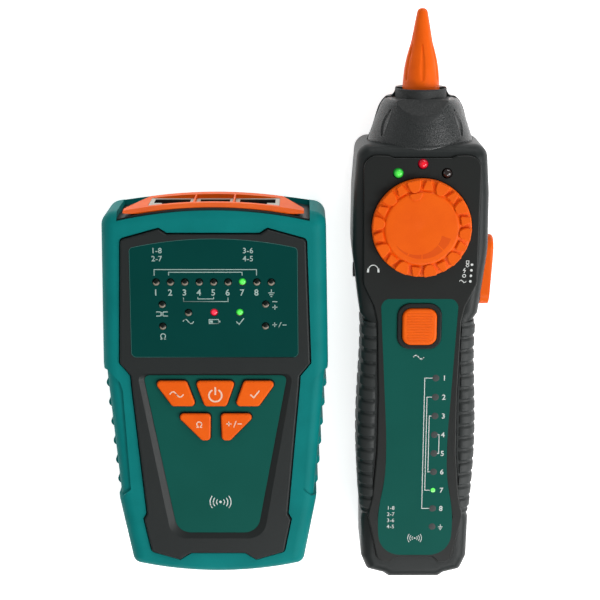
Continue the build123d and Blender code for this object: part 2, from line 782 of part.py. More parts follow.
with BuildPart() as rx_body:
    with BuildSketch(RX):
        body_outline(0)
    extrude(amount=shell_front)
    fillet(rx_body.faces().sort_by(Axis.Z)[-1].edges(), 4.0)
    fillet(rx_body.faces().sort_by(Axis.Z)[0].edges(), 3.6)
    loft(sections=nose(0))
    # collar with a hollow foot, turned about the nose axis
    collar_y = rx_body_long + 13.6
    with BuildSketch(Plane(origin=(rx_x, rx_y, nose_z), x_dir=(0, 1, 0), z_dir=(0, 0, 1))):
        with BuildLine():
            Line((collar_y - 6, 0), (collar_y - 6, 11.0))
            Line((collar_y - 6, 11.0), (collar_y, 11.0))
            ThreePointArc((collar_y, 11.0), (collar_y + 1.1, 9.3), (collar_y + 2.4, 8.5))
            Line((collar_y + 2.4, 8.5), (collar_y + 3.5, 8.3))
            Line((collar_y + 3.5, 8.3), (collar_y + 3.5, 0))
            Line((collar_y + 3.5, 0), (collar_y - 6, 0))
        make_face()
    revolve(axis=Axis((rx_x, rx_y, nose_z), (0, 1, 0)))

with BuildPart() as rx_room:
    with BuildSketch(RX.offset(wall)):
        body_outline(wall)
    extrude(amount=plate_low - 1.4 - wall)
    loft(sections=nose(wall))

tip_root = rx_body_long + 12.5
tip_bore = 6.15

with BuildPart() as rx_shells:
    add(rx_body.part)
    add(rx_room.part, mode=Mode.SUBTRACT)
    # bore of the collar and the groove that holds the flange of the tip
    with BuildSketch(end_plane(RX, 0, rx_body_long + 5, nose_z)):
        Circle(tip_bore)
    extrude(amount=-20, mode=Mode.SUBTRACT)
    # pocket and slot of the mode slider
    with BuildSketch(side_plane(RX, slider_floor, slider_y + 0.2, slider_z)):
        with Locations(((slider_up - slider_down) * slider_step / 2, 0)):
            SlotOverall(24.0 + (slider_up + slider_down) * slider_step + 2 * fit_gap, 8.6 + 2 * fit_gap)
    extrude(amount=10, mode=Mode.SUBTRACT)
    with BuildSketch(side_plane(RX, 10, slider_y, slider_z)):
        with Locations(((slider_up - slider_down) * slider_step / 2, 0)):
            Rectangle(5.0 + (slider_up + slider_down) * slider_step + 2 * fit_gap, 2.4 + 2 * fit_gap)
    extrude(amount=15, mode=Mode.SUBTRACT)
    # headphone hole on the other side
    with BuildSketch(side_plane(RX, -rx_wide, slider_y, slider_z)):
        Circle(2.5)
    extrude(amount=rx_wide - 14, mode=Mode.SUBTRACT)
    # mouth of the socket in the foot
    with BuildSketch(end_plane(RX, 0, -2, rx_jack_low + jack_high / 2)):
        Rectangle(rj45_wide + 2 * slip, jack_high + 2 * slip)
    extrude(amount=-7, mode=Mode.SUBTRACT)

with BuildPart() as rx_front_shell:
    add(rx_shells.part)
    split(bisect_by=Plane.XY.offset(shell_split), keep=Keep.TOP)
    # seat of the front plate and the opening under it
    with BuildSketch(RX.offset(plate_low)):
        plate_outline(-slip)
    extrude(amount=5, mode=Mode.SUBTRACT)
    with BuildSketch(RX.offset(rx_board_top)):
        plate_outline(1.6)
        with Locations(*[spot for spots in signal_lamps.values() for spot in spots]):
            Circle(2.1)
    extrude(amount=10, mode=Mode.SUBTRACT)
    # screw posts, each tied to the side wall by a web
    with BuildSketch(RX.offset(wall + 4.0)):
        with Locations(*rx_screw_spots):
            Circle(2.7)
    extrude(amount=plate_low - wall - 4.0)
    with BuildSketch(RX.offset(shell_split)):
        with Locations(*[(x + (2.6 if x > 0 else -2.6), y) for x, y in rx_screw_spots]):
            Rectangle(5.2, 1.6)
    extrude(amount=rx_board_low - shell_split)
    with BuildSketch(RX.offset(wall + 4.0)):
        with Locations(*rx_screw_spots):
            Circle(1.25)
    extrude(amount=9, mode=Mode.SUBTRACT)
save(rx_front_shell.part, "rx_front_shell")

rx_door_low = rx_battery_y - 2.0
rx_door_high = rx_battery_y + battery_size[1] + 2.0
rx_door_half = battery_size[0] / 2 + 0.9

with BuildPart() as rx_rear_shell:
    add(rx_shells.part)
    split(bisect_by=Plane.XY.offset(shell_split), keep=Keep.BOTTOM)
    with BuildSketch(RX.offset(wall)):
        with Locations(*rx_screw_spots):
            Circle(3.2)
    extrude(amount=4.0)
    with BuildSketch(RX):
        with Locations(*rx_screw_spots):
            Circle(2.8)
    extrude(amount=3.4, mode=Mode.SUBTRACT)
    with BuildSketch(RX):
        with Locations(*rx_screw_spots):
            Circle(1.5)
    extrude(amount=9, mode=Mode.SUBTRACT)
    # battery opening
    with BuildSketch(RX):
        with Locations((0, (rx_door_low + rx_door_high) / 2)):
            RectangleRounded(2 * rx_door_half, rx_door_high - rx_door_low, 1.2)
    extrude(amount=3, mode=Mode.SUBTRACT)
    # speaker grille
    with BuildSketch(RX):
        with Locations(speaker_spot):
            with PolarLocations(8.4, 12):
                Circle(0.8)
            with PolarLocations(4.6, 6):
                Circle(0.8)
            Circle(0.8)
    extrude(amount=3, mode=Mode.SUBTRACT)
    # torch window in the table side of the shoulder
    with BuildSketch(RX):
        with Locations(rx_pt(0, 144)):
            Circle(2.6)
    extrude(amount=3, mode=Mode.SUBTRACT)
save(rx_rear_shell.part, "rx_rear_shell")

with BuildPart() as rx_battery_door:
    with BuildSketch(RX.offset(0.2)):
        with Locations((0, (rx_door_low + rx_door_high) / 2)):
            RectangleRounded(2 * (rx_door_half - 0.15), rx_door_high - rx_door_low - 0.3, 1.1)
    extrude(amount=1.8)
    chamfer(rx_battery_door.faces().sort_by(Axis.Z)[0].edges(), 0.3)
    with BuildSketch(RX):
        with GridLocations(0, 2.4, 1, 5):
            with Locations((0, rx_door_high - 12)):
                SlotOverall(12, 1.1)
    extrude(amount=0.7, mode=Mode.SUBTRACT)
save(rx_battery_door.part, "rx_battery_door")

with BuildPart() as rx_front_plate:
    with BuildSketch(RX.offset(plate_low)):
        plate_outline(0.05)
    extrude(amount=rx_thick - plate_low)
    fillet(rx_front_plate.faces().sort_by(Axis.Z)[-1].edges(), 0.5)
    # round seat of the dial
    with BuildSketch(RX.offset(rx_thick - 0.8)):
        with Locations(dial_spot):
            Circle(dial_radius + fit_gap)
    extrude(amount=2, mode=Mode.SUBTRACT)
    with BuildSketch(RX.offset(plate_low)):
        with Locations(dial_spot):
            Circle(4.4 + fit_gap)
    extrude(amount=5, mode=Mode.SUBTRACT)
    # raised rim round the push button
    with BuildSketch(RX.offset(plate_low)):
        with Locations(push_spot):
            RectangleRounded(14.6, 15.6, 4.2)
    extrude(amount=rx_thick - plate_low + 0.7)
    fillet(rx_front_plate.faces().sort_by(Axis.Z)[-1].edges(), 0.4)
    with BuildSketch(RX.offset(plate_low)):
        with Locations(push_spot):
            RectangleRounded(11.3 + 2 * fit_gap, 12.3 + 2 * fit_gap, 3.3)
    extrude(amount=6, mode=Mode.SUBTRACT)
    # seat of the label, clear of the rim
    with BuildSketch(RX.offset(rx_thick - 0.3)):
        label_outline(0.1)
        with Locations(push_spot):
            RectangleRounded(14.6, 15.6, 4.2, mode=Mode.SUBTRACT)
    extrude(amount=0.35, mode=Mode.SUBTRACT)
    with BuildSketch(RX.offset(plate_low)):
        with Locations(*[spot for spots in signal_lamps.values() for spot in spots]):
            Circle(1.75)
        with Locations(*map_lamps):
            Circle(1.3)
    extrude(amount=5, mode=Mode.SUBTRACT)
save(rx_front_plate.part, "rx_front_plate")

with BuildPart() as rx_label:
    with BuildSketch(RX.offset(rx_thick - 0.3)):
        label_outline(0)
        with Locations(push_spot):
            RectangleRounded(14.8, 15.8, 4.3, mode=Mode.SUBTRACT)
        with Locations(*map_lamps):
            Circle(1.3, mode=Mode.SUBTRACT)
    extrude(amount=0.25)
save(rx_label.part, "rx_label")

# ------------------------------------------------------------- ribbed grips
grip_side = [
    rx_pt(18.9, 25.0),
    rx_pt(19.9, 43.0),
    rx_pt(20.0, 57.0),
    rx_pt(19.1, 78.0),
    rx_pt(19.2, 92.4),
]
rx_rib_count = 16
rx_rib_pitch = rx_pt(0, 4.4)[1]


def grip(side):
    """Rubber side grip: a skin over the shell with raised ribs, side is -1 or +1."""
    with BuildPart() as piece:
        with BuildSketch(RX.offset(3.2)):
            with BuildLine():
                Spline(*[(side * x, y) for x, y in grip_side])
                low = (side * (grip_side[0][0] - 4), grip_side[0][1])
                high = (side * (grip_side[-1][0] - 4), grip_side[-1][1])
                low_end = (side * grip_side[0][0], grip_side[0][1])
                high_end = (side * grip_side[-1][0], grip_side[-1][1])
                Polyline(high_end, high, low, low_end)
            make_face()
        extrude(amount=shell_front - 6.0)
        outer = piece.edges().filter_by(GeomType.BSPLINE)
        fillet(outer, 1.6)
        for i in range(rx_rib_count):
            rib_y = grip_side[0][1] + rx_pt(0, 0.9)[1] + i * rx_rib_pitch
            share = (rib_y - grip_side[0][1]) / (grip_side[-1][1] - grip_side[0][1])
            rib_x = grip_side[0][0] + 1.1 * sin(pi * min(1, share * 1.05)) + 0.2 * share
            with BuildSketch(RX.offset(5.0)):
                with Locations((side * (rib_x - 0.45), rib_y)):
                    Ellipse(0.75, 0.95)
            extrude(amount=shell_front - 9.6)
        add(rx_body.part, mode=Mode.SUBTRACT)
    return piece.part


save(grip(-1), "rx_left_grip")
save(grip(1), "rx_right_grip")

# ------------------------------------------------------------- dial and its shaft
lobe_count = 10
dial_low = rx_thick - 0.5
dial_top = rx_thick + 2.6
dial_turn = 11.0  # degrees, first lobe left of straight up
face_radius = 11.9


def dial_point(radius, degrees_cw):
    angle = radians(90 - degrees_cw)
    return (dial_spot[0] + radius * cos(angle), dial_spot[1] + radius * sin(angle))


with BuildPart() as rx_volume_dial:
    with BuildSketch(RX.offset(dial_low)):
        with Locations(dial_spot):
            Circle(dial_radius)
    extrude(amount=dial_top - 0.8 - dial_low)
    with BuildSketch(RX.offset(dial_top - 0.8)):
        with Locations(dial_spot):
            Circle(face_radius)
    extrude(amount=0.5)
    # round lobes and narrow wedges by turns round the rim
    for i in range(lobe_count):
        with BuildSketch(RX.offset(dial_top - 1.0)):
            with Locations(dial_point(14.1, -dial_turn + i * 360 / lobe_count)):
                Circle(2.2)
        extrude(amount=1.0)
        with BuildSketch(RX.offset(dial_top - 1.0)):
            turn = -dial_turn + (i + 0.5) * 360 / lobe_count
            with BuildLine():
                Polyline(
                    dial_point(15.6, turn - 2.5),
                    dial_point(15.6, turn + 2.5),
                    dial_point(12.8, turn + 6.5),
                    dial_point(12.8, turn - 6.5),
                    close=True,
                )
            make_face()
        extrude(amount=1.0)
    # pointer on the face
    with BuildSketch(RX.offset(dial_top - 0.5)):
        with Locations(dial_point(9.4, -dial_turn)):
            Circle(1.7)
    extrude(amount=0.5)
    # hub and the bore for the shaft
    with BuildSketch(RX.offset(plate_low - 0.9)):
        with Locations(dial_spot):
            Circle(4.4)
    extrude(amount=dial_low - plate_low + 0.9)
    with BuildSketch(RX.offset(plate_low - 1)):
        with Locations(dial_spot):
            Circle(3.0)
    extrude(amount=dial_top - 1.8 - plate_low + 1, mode=Mode.SUBTRACT)
save(rx_volume_dial.part, "rx_volume_dial")

with BuildPart() as rx_pot_shaft:
    with BuildSketch(RX.offset(rx_board_top + 0.6)):
        with Locations(dial_spot):
            Circle(3.0)
    extrude(amount=dial_top - 1.9 - rx_board_top - 0.6)
save(rx_pot_shaft.part, "rx_pot_shaft")

with BuildPart() as rx_potentiometer:
    with BuildSketch(RX.offset(rx_board_top)):
        with Locations(dial_spot):
            Circle(8.0)
    extrude(amount=2.2)
    with BuildSketch(RX.offset(rx_board_top + 0.5)):
        with Locations(dial_spot):
            Circle(3.06)
    extrude(amount=3, mode=Mode.SUBTRACT)
save(rx_potentiometer.part, "rx_potentiometer")

# ------------------------------------------------------------- push button
with BuildPart() as rx_scan_button:
    with BuildSketch(RX.offset(plate_low - 1.2)):
        with Locations(push_spot):
            RectangleRounded(12.7, 13.7, 3.6)
    extrude(amount=0.8)
    with BuildSketch(RX.offset(plate_low - 0.5)):
        with Locations(push_spot):
            RectangleRounded(11.3, 12.3, 3.0)
    extrude(amount=rx_thick + 1.5 - plate_low + 0.5)
    fillet(rx_scan_button.faces().sort_by(Axis.Z)[-1].edges(), 0.7)
    # low ribs across the top
    with BuildSketch(RX.offset(rx_thick + 1.3)):
        with Locations(push_spot):
            with GridLocations(0, 2.3, 1, 4):
                SlotOverall(8.4, 0.8)
    extrude(amount=0.5)
    with BuildSketch(RX.offset(rx_board_top + dome_high + button_travel + 0.3)):
        with Locations(push_spot):
            Circle(2.0)
    extrude(amount=plate_low - 1.1 - rx_board_top - dome_high - button_travel - 0.3)
save(rx_scan_button.part, "rx_scan_button")

with BuildPart() as rx_key_dome:
    with BuildSketch(RX.offset(rx_board_top)):
        with Locations(push_spot):
            Circle(3.0)
    extrude(amount=dome_high, taper=30)
save(rx_key_dome.part, "rx_key_dome")

# ------------------------------------------------------------- mode slider and switch
with BuildPart() as rx_mode_slider:
    with BuildSketch(side_plane(RX, slider_floor + fit_gap, slider_y + 0.2, slider_z)):
        SlotOverall(23.8, 8.4)
    extrude(amount=rx_wide / 2 + rx_knob_out - slider_floor - fit_gap)
    slider_face = rx_mode_slider.faces().sort_by(Axis.X)[-1]
    fillet(slider_face.edges(), 1.2)
    # the outer face leans in towards the lower end
    with BuildSketch(RX.offset(slider_z - 6)):
        with BuildLine():
            Polyline(
                (rx_wide / 2 + 1.2, slider_y - 14),
                (rx_wide / 2 + rx_knob_out, slider_y + 7.8),
                (rx_wide / 2 + 6, slider_y + 7.8),
                (rx_wide / 2 + 6, slider_y - 14),
                close=True,
            )
        make_face()
    extrude(amount=12, mode=Mode.SUBTRACT)
    # stem through the slot
    with BuildSketch(side_plane(RX, 15.4, slider_y, slider_z)):
        Rectangle(5.0, 2.4)
    extrude(amount=slider_floor + fit_gap - 15.4)
save(rx_mode_slider.part, "rx_mode_slider")

with BuildPart() as rx_switch_lever:
    with BuildSketch(side_plane(RX, 12.2, slider_y, slider_z)):
        Rectangle(2.2, 1.8)
    extrude(amount=3.2)
save(rx_switch_lever.part, "rx_switch_lever")

with BuildPart() as rx_mode_switch:
    with BuildSketch(side_plane(RX, 7.6, slider_y - slider_step / 2, (rx_board_low + slider_z - 2.6) / 2)):
        Rectangle(16.0, rx_board_low - slider_z + 2.6)
    extrude(amount=6.6)
    with BuildSketch(side_plane(RX, 12.0, slider_y - slider_step / 2, slider_z)):
        Rectangle(2.2 + (slider_up + slider_down) * slider_step + 2 * fit_gap, 1.8 + 2 * fit_gap)
    extrude(amount=3, mode=Mode.SUBTRACT)
save(rx_mode_switch.part, "rx_mode_switch")

# ------------------------------------------------------------- headphone socket
ear_face = rx_wide / 2 - 0.5
with BuildPart() as rx_headphone_jack:
    with BuildSketch(side_plane(RX, -ear_face, slider_y, slider_z)):
        Circle(2.45)
    extrude(amount=8)
    with BuildSketch(side_plane(RX, -ear_face + 4.0, slider_y, (rx_board_low + slider_z - 2.9) / 2)):
        Rectangle(7.0, rx_board_low - slider_z + 2.9)
    extrude(amount=11.5)
    with BuildSketch(side_plane(RX, -ear_face, slider_y, slider_z)):
        Circle(1.8)
    extrude(amount=14, mode=Mode.SUBTRACT)
save(rx_headphone_jack.part, "rx_headphone_jack")

# ------------------------------------------------------------- probe tip and rod
with BuildPart() as rx_probe_tip:
    tip_profile = [
        (tip_root, 0),
        (tip_root, tip_bore - 0.05),
        (rx_body_long + 16.6, tip_bore - 0.05),
        (rx_body_long + 23.0, 5.35),
        (rx_body_long + 27.0, 4.75),
        (rx_body_long + 31.1, 3.6),
        (rx_body_long + 40.4, 1.75),
        (rx_long - 0.4, 1.2),
        (rx_long, 0.5),
        (rx_long, 0),
    ]
    with BuildSketch(Plane(origin=(rx_x, rx_y, nose_z), x_dir=(0, 1, 0), z_dir=(0, 0, 1))):
        with BuildLine():
            Polyline(*tip_profile, close=True)
        make_face()
    revolve(axis=Axis((rx_x, rx_y, nose_z), (0, 1, 0)))
    with BuildSketch(end_plane(RX, 0, tip_root, nose_z)):
        Circle(1.3)
    extrude(amount=-(rx_long - 6 - tip_root), mode=Mode.SUBTRACT)
save(rx_probe_tip.part, "rx_probe_tip")

with BuildPart() as rx_antenna_rod:
    with BuildSketch(end_plane(RX, 0, rx_body_long - 4, nose_z)):
        Circle(1.3)
    extrude(amount=-(rx_long - 6 - rx_body_long + 4))
save(rx_antenna_rod.part, "rx_antenna_rod")

with BuildPart() as rx_antenna_clip:
    with BuildSketch(end_plane(RX, 0, rx_body_long - 3, nose_z)):
        with Locations((0, (rx_board_low - nose_z - 2.5) / 2)):
            Rectangle(6, rx_board_low - nose_z + 2.5)
        Circle(1.3, mode=Mode.SUBTRACT)
    extrude(amount=4)
save(rx_antenna_clip.part, "rx_antenna_clip")

# ------------------------------------------------------------- lamps
for label, spots in signal_lamps.items():
    save(lamps(RX, spots, 1.5, rx_board_top, plate_low, rx_thick + 0.7), label)
save(lamps(RX, map_dark, 1.15, rx_board_top, plate_low, rx_thick), "rx_map_lamps_dark")
save(lamps(RX, map_lit, 1.15, rx_board_top, plate_low, rx_thick), "rx_map_lamp_lit")

with BuildPart() as rx_torch_lamp:
    with BuildSketch(RX.offset(0.6)):
        with Locations(rx_pt(0, 144)):
            Circle(2.5)
    extrude(amount=5.0)
    fillet(rx_torch_lamp.faces().sort_by(Axis.Z)[0].edges(), 2.2)
    with BuildSketch(RX.offset(5.6)):
        with Locations(rx_pt(0, 144)):
            with Locations((-1.27, 0), (1.27, 0)):
                Rectangle(0.5, 0.5)
    extrude(amount=rx_board_low - 5.6)
save(rx_torch_lamp.part, "rx_torch_lamp")

# ------------------------------------------------------------- board, socket, sound, power
with BuildPart() as rx_circuit_board:
    with BuildSketch(RX.offset(rx_board_low)):
        body_outline(wall + 0.5)
        with Locations(*rx_screw_spots):
            Circle(2.9, mode=Mode.SUBTRACT)
    extrude(amount=board_thick)
save(rx_circuit_board.part, "rx_circuit_board")

save(jack(RX, 0, 0.4, rx_jack_low, rj45_wide, rj45_mouth, -1), "rx_socket")
save(jack_contacts(RX, 0, 0.4, rx_jack_low, 8, -1), "rx_socket_contacts")
save(battery(RX, rx_battery_y, rx_battery_z), "rx_battery")
save(battery_snap(RX, rx_battery_y, rx_battery_z), "rx_battery_snap")
save(screws(RX, rx_screw_spots, 1.4, 2.0, 14.0), "rx_case_screws")

with BuildPart() as rx_speaker:
    with BuildSketch(RX.offset(wall)):
        with Locations(speaker_spot):
            Circle(speaker_radius)
    extrude(amount=3.0)
    with BuildSketch(RX.offset(wall + 3.0)):
        with Locations(speaker_spot):
            Circle(speaker_radius - 4.5)
    extrude(amount=2.4)
    with BuildSketch(RX.offset(wall)):
        with Locations(speaker_spot):
            Circle(speaker_radius - 2.0)
    extrude(amount=1.2, mode=Mode.SUBTRACT)
save(rx_speaker.part, "rx_speaker")
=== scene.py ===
# %% [markdown]
# # A tone probe kit
# Two hand-held instruments lie on a pale table: a transmitter in a rubber jacket and a
# long receiver with a pointed probe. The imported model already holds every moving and
# load-carrying piece in its right place, so this lesson is about surfaces: finishes made
# of shader nodes, printed signs, and the few shapes that are worth modelling again more
# finely. Lengths are metres, X is right, Y runs towards the probe tip, Z is up.

# %% Load the frame
from math import cos, hypot, pi, radians, sin

import bmesh
import bpy
import numpy as np
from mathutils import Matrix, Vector


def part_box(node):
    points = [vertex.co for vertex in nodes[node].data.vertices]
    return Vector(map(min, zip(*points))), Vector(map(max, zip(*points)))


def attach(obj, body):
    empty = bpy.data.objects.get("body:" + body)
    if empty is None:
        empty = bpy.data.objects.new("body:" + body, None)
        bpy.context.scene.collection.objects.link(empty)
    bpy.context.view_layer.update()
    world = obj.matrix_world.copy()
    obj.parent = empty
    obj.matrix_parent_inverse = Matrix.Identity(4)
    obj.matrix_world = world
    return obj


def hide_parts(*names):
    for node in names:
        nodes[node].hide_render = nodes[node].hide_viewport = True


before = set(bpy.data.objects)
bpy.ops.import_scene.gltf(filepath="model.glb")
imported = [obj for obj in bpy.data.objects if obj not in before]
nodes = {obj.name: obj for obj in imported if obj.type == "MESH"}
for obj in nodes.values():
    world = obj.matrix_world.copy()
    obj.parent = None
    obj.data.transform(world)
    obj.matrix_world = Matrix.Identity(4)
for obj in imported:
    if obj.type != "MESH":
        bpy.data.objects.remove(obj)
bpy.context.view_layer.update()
mm = 0.001

# %% [markdown]
# ## Where the two units are
# Drawings of such units are kept about their own centre lines. The jacket and the probe
# tip give those lines, so a sign or a rib can be placed with local millimetres.

# %% Local drawing frames
jacket_low, jacket_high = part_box("tx_grip_jacket")
tip_low, tip_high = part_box("rx_probe_tip")
tip_axis = (tip_low + tip_high) / 2
tx_origin = Vector(((jacket_low.x + jacket_high.x) / 2, jacket_low.y + 0.3 * mm, 0))
rx_origin = Vector((tip_axis.x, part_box("rx_front_shell")[0].y, 0))
# the face of the receiver's front plate is 0.7 mm below the plate's highest point
rx_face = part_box("rx_front_plate")[1].z - 0.7 * mm


def on_tx(x, y, z):
    """A point of the transmitter: millimetres from its centre line and lower end."""
    return tx_origin + Vector((x, y, z)) * mm


def on_rx(x, y, z):
    """The same for the receiver."""
    return rx_origin + Vector((x, y, z)) * mm


print("transmitter from", tx_origin, "receiver from", rx_origin, "its face at", rx_face)

# %% [markdown]
# ## Camera
# A long lens keeps the perspective gentle.

# %% Camera
camera = bpy.data.objects.new("camera", bpy.data.cameras.new("camera"))
bpy.context.scene.collection.objects.link(camera)
camera.data.lens = 84
camera.data.sensor_width = 36
camera.data.clip_start = 0.01
tilt = radians(14.79)
look_at = Vector((1.0, 3.4, 28.0)) * mm
distance = 462 * mm
camera.location = look_at + Vector((0, sin(tilt), cos(tilt))) * distance
camera.rotation_euler = (-tilt, 0, 0)
bpy.context.scene.camera = camera
print("camera at", camera.location)

# %% [markdown]
# ## Table and light
# The table is white and plain. A soft panel stands to the right, one at the foot, a
# weaker one at the head and a faint one to the left; a pale room fills the shadows. The
# standard view keeps saturated plastics saturated.

# %% Table and light
scene = bpy.context.scene
scene.view_settings.view_transform = "Standard"

table_mesh = bpy.data.meshes.new("table")
half = 3.0
corners = [(-half, -half, 0), (half, -half, 0), (half, half, 0), (-half, half, 0)]
table_mesh.from_pydata(corners, [], [(0, 1, 2, 3)])
table = bpy.data.objects.new("table", table_mesh)
scene.collection.objects.link(table)


def soft_panel(name, place, wide, high, watts):
    lamp = bpy.data.lights.new(name, "AREA")
    lamp.shape = "RECTANGLE"
    lamp.size, lamp.size_y = wide, high
    lamp.energy = watts
    holder = bpy.data.objects.new(name, lamp)
    scene.collection.objects.link(holder)
    holder.location = place
    holder.rotation_euler = (Vector((0, 0, 0.01)) - holder.location).to_track_quat("-Z", "Y").to_euler()


soft_panel("key_right", (0.78, -0.32, 0.7), 0.5, 0.5, 6.4)
soft_panel("foot_panel", (0.25, -0.7, 0.85), 0.7, 0.3, 4.2)
soft_panel("head_panel", (0.35, 0.95, 0.5), 0.8, 0.35, 3.4)
soft_panel("left_fill", (-0.95, 0.05, 0.4), 0.35, 0.6, 0.5)

world = bpy.data.worlds.new("room")
world.use_nodes = True
scene.world = world
sky = world.node_tree.nodes["Background"].inputs
sky["Color"].default_value = (1, 1, 1, 1)
sky["Strength"].default_value = 0.3
print("lights placed")

# %% [markdown]
# ## Shader sums as plain Python
# A pattern is easier to read as a sum than as a web of boxes. Field wraps a socket that
# varies over the surface; arithmetic on it adds Math nodes. Painter starts a material
# and adds any other node: its type, its settings, then the values of its sockets.


# %% Field and Painter
def feed(slot, value):
    """Link a field to a socket, or set the socket's own value."""
    if isinstance(value, Field):
        value.tree.links.new(value.socket, slot)
    elif slot.type == "RGBA":
        slot.default_value = (*value, 1)
    elif value is not None:
        slot.default_value = value


class Field:
    """A number or colour that varies over a surface, kept as a shader socket."""

    def __init__(self, tree, socket):
        self.tree = tree
        self.socket = socket

    def sum(self, operation, first, second=None, third=None, clamp=False):
        """One Math node: its operation and its inputs."""
        box = self.tree.nodes.new("ShaderNodeMath")
        box.operation = operation
        box.use_clamp = clamp
        for slot, value in zip(box.inputs, (first, second, third)):
            feed(slot, value)
        return Field(self.tree, box.outputs[0])

    def __add__(self, other):
        return self.sum("ADD", self, other)

    def __radd__(self, other):
        return self.sum("ADD", other, self)

    def __sub__(self, other):
        return self.sum("SUBTRACT", self, other)

    def __rsub__(self, other):
        return self.sum("SUBTRACT", other, self)

    def __mul__(self, other):
        return self.sum("MULTIPLY", self, other)

    def __rmul__(self, other):
        return self.sum("MULTIPLY", other, self)

    def __truediv__(self, other):
        return self.sum("DIVIDE", self, other)

    def __rtruediv__(self, other):
        return self.sum("DIVIDE", other, self)

    def power(self, exponent):
        return self.sum("POWER", self, exponent)

    def step(self, low, high):
        """0 up to low, 1 from high on, and a ramp with a soft shoulder between."""
        share = (self - low) / (high - low)
        return self.sum("SMOOTH_MIN", self.sum("MAXIMUM", share, 0.0), 1.0, 0.1)

    def held(self):
        """The same, kept between 0 and 1."""
        return self.sum("ADD", self, 0.0, clamp=True)


class Painter:
    """A new material and the nodes that feed its Principled shader."""

    def __init__(self, name):
        self.material = bpy.data.materials.new(name)
        self.material.use_nodes = True
        self.tree = self.material.node_tree
        self.shader = self.tree.nodes["Principled BSDF"]
        self.place = self.node("ShaderNodeTexCoord", out="Object")

    def node(self, kind, settings=None, sockets=None, out=0):
        """Any node: its settings first, then the values or links of its sockets."""
        box = self.tree.nodes.new(kind)
        for key, value in (settings or {}).items():
            setattr(box, key, value)
        for key, value in (sockets or {}).items():
            feed(box.inputs[key], value)
        return Field(self.tree, box.outputs[out])

    def noise(self, grain, detail=2.0, roughness=0.5):
        """Soft noise whose patches are about grain metres across."""
        sockets = {"Vector": self.place, "Scale": 1 / grain, "Detail": detail, "Roughness": roughness}
        return self.node("ShaderNodeTexNoise", sockets=sockets, out="Fac")

    def blend(self, share, first, second):
        """A colour between two colours (each a triple or a Field)."""
        return self.node("ShaderNodeMix", {"data_type": "RGBA"}, {0: share, 6: first, 7: second}, 2)

    def axis(self, letter):
        """How far a point lies along X, Y or Z, in metres."""
        return self.node("ShaderNodeSeparateXYZ", {}, {"Vector": self.place}, letter)

    def set(self, **values):
        """Values and links of the Principled shader; underscores stand for spaces."""
        for key, value in values.items():
            feed(self.shader.inputs[key.replace("_", " ")], value)

    def bump(self, height, depth, strength=1.0):
        """Relief of that depth in metres where height goes from 0 to 1."""
        sockets = {"Height": height, "Distance": depth, "Strength": strength}
        self.set(Normal=self.node("ShaderNodeBump", sockets=sockets))


print("shader helpers ready")

# %% [markdown]
# ## Table finish
# A light table: white board with a faint glow of its own, so that hardly any shadow is
# left, and a faint cloudiness that keeps it from looking like empty space.

# %% Table finish
paint = Painter("white_board")
cloud = paint.noise(0.25)
paint.set(Base_Color=paint.blend(cloud, (0.90, 0.90, 0.90), (0.94, 0.94, 0.94)), Roughness=0.85)
paint.set(Emission_Color=paint.blend(cloud, (0.97, 0.97, 0.97), (1.0, 1.0, 1.0)), Emission_Strength=0.75)
table_mesh.materials.append(paint.material)
print(paint.material.name)

# %% [markdown]
# ## Moulded rubber
# The jacket is soft rubber moulded in a sand-blasted tool: matt, slightly cloudy, with a
# fine even grain. Grain at two sizes breaks the highlight up without showing as lumps.


# %% Jacket and grip rubber
def rubber(name, dark, light, roughness, gloss):
    paint = Painter(name)
    cloud = paint.noise(14 * mm, detail=3)
    speck = paint.noise(0.28 * mm, detail=2, roughness=0.6)
    tone = (cloud - 0.5) * 1.4 + (speck - 0.5) * 0.5 + 0.5
    paint.set(Base_Color=paint.blend(tone.held(), dark, light))
    paint.set(Roughness=roughness - 0.06 + cloud * 0.08 + speck * 0.06, Specular_IOR_Level=gloss)
    paint.bump(speck + paint.noise(0.7 * mm) * 0.5, 0.03 * mm, 0.5)
    return paint.material


jacket_rubber = rubber("jacket_rubber", (0.0015, 0.165, 0.160), (0.0035, 0.225, 0.217), 0.5, 0.07)
grip_rubber = rubber("grip_rubber", (0.018, 0.021, 0.021), (0.028, 0.033, 0.032), 0.55, 0.4)
print(jacket_rubber.name, grip_rubber.name)

# %% [markdown]
# ## Spark-eroded case plastic
# The dark cases come out of a spark-eroded tool, which leaves a fine pitted grain that
# glitters where light grazes it. The front plate of the receiver is a smoother grade.


# %% Case plastic
def case_finish(name, dark, light, roughness, depth, glitter, gloss):
    paint = Painter(name)
    pits = paint.noise(0.34 * mm, detail=3, roughness=0.65)
    cloud = paint.noise(22 * mm)
    fleck = paint.noise(0.5 * mm, detail=1).step(0.56, 0.72)
    tone = cloud * 0.6 + pits * 0.4
    paint.set(Base_Color=paint.blend(tone.held(), dark, light))
    paint.set(Roughness=roughness + 0.05 - pits * 0.1 - fleck * glitter, Specular_IOR_Level=gloss)
    paint.bump(pits, depth, 0.7)
    return paint.material


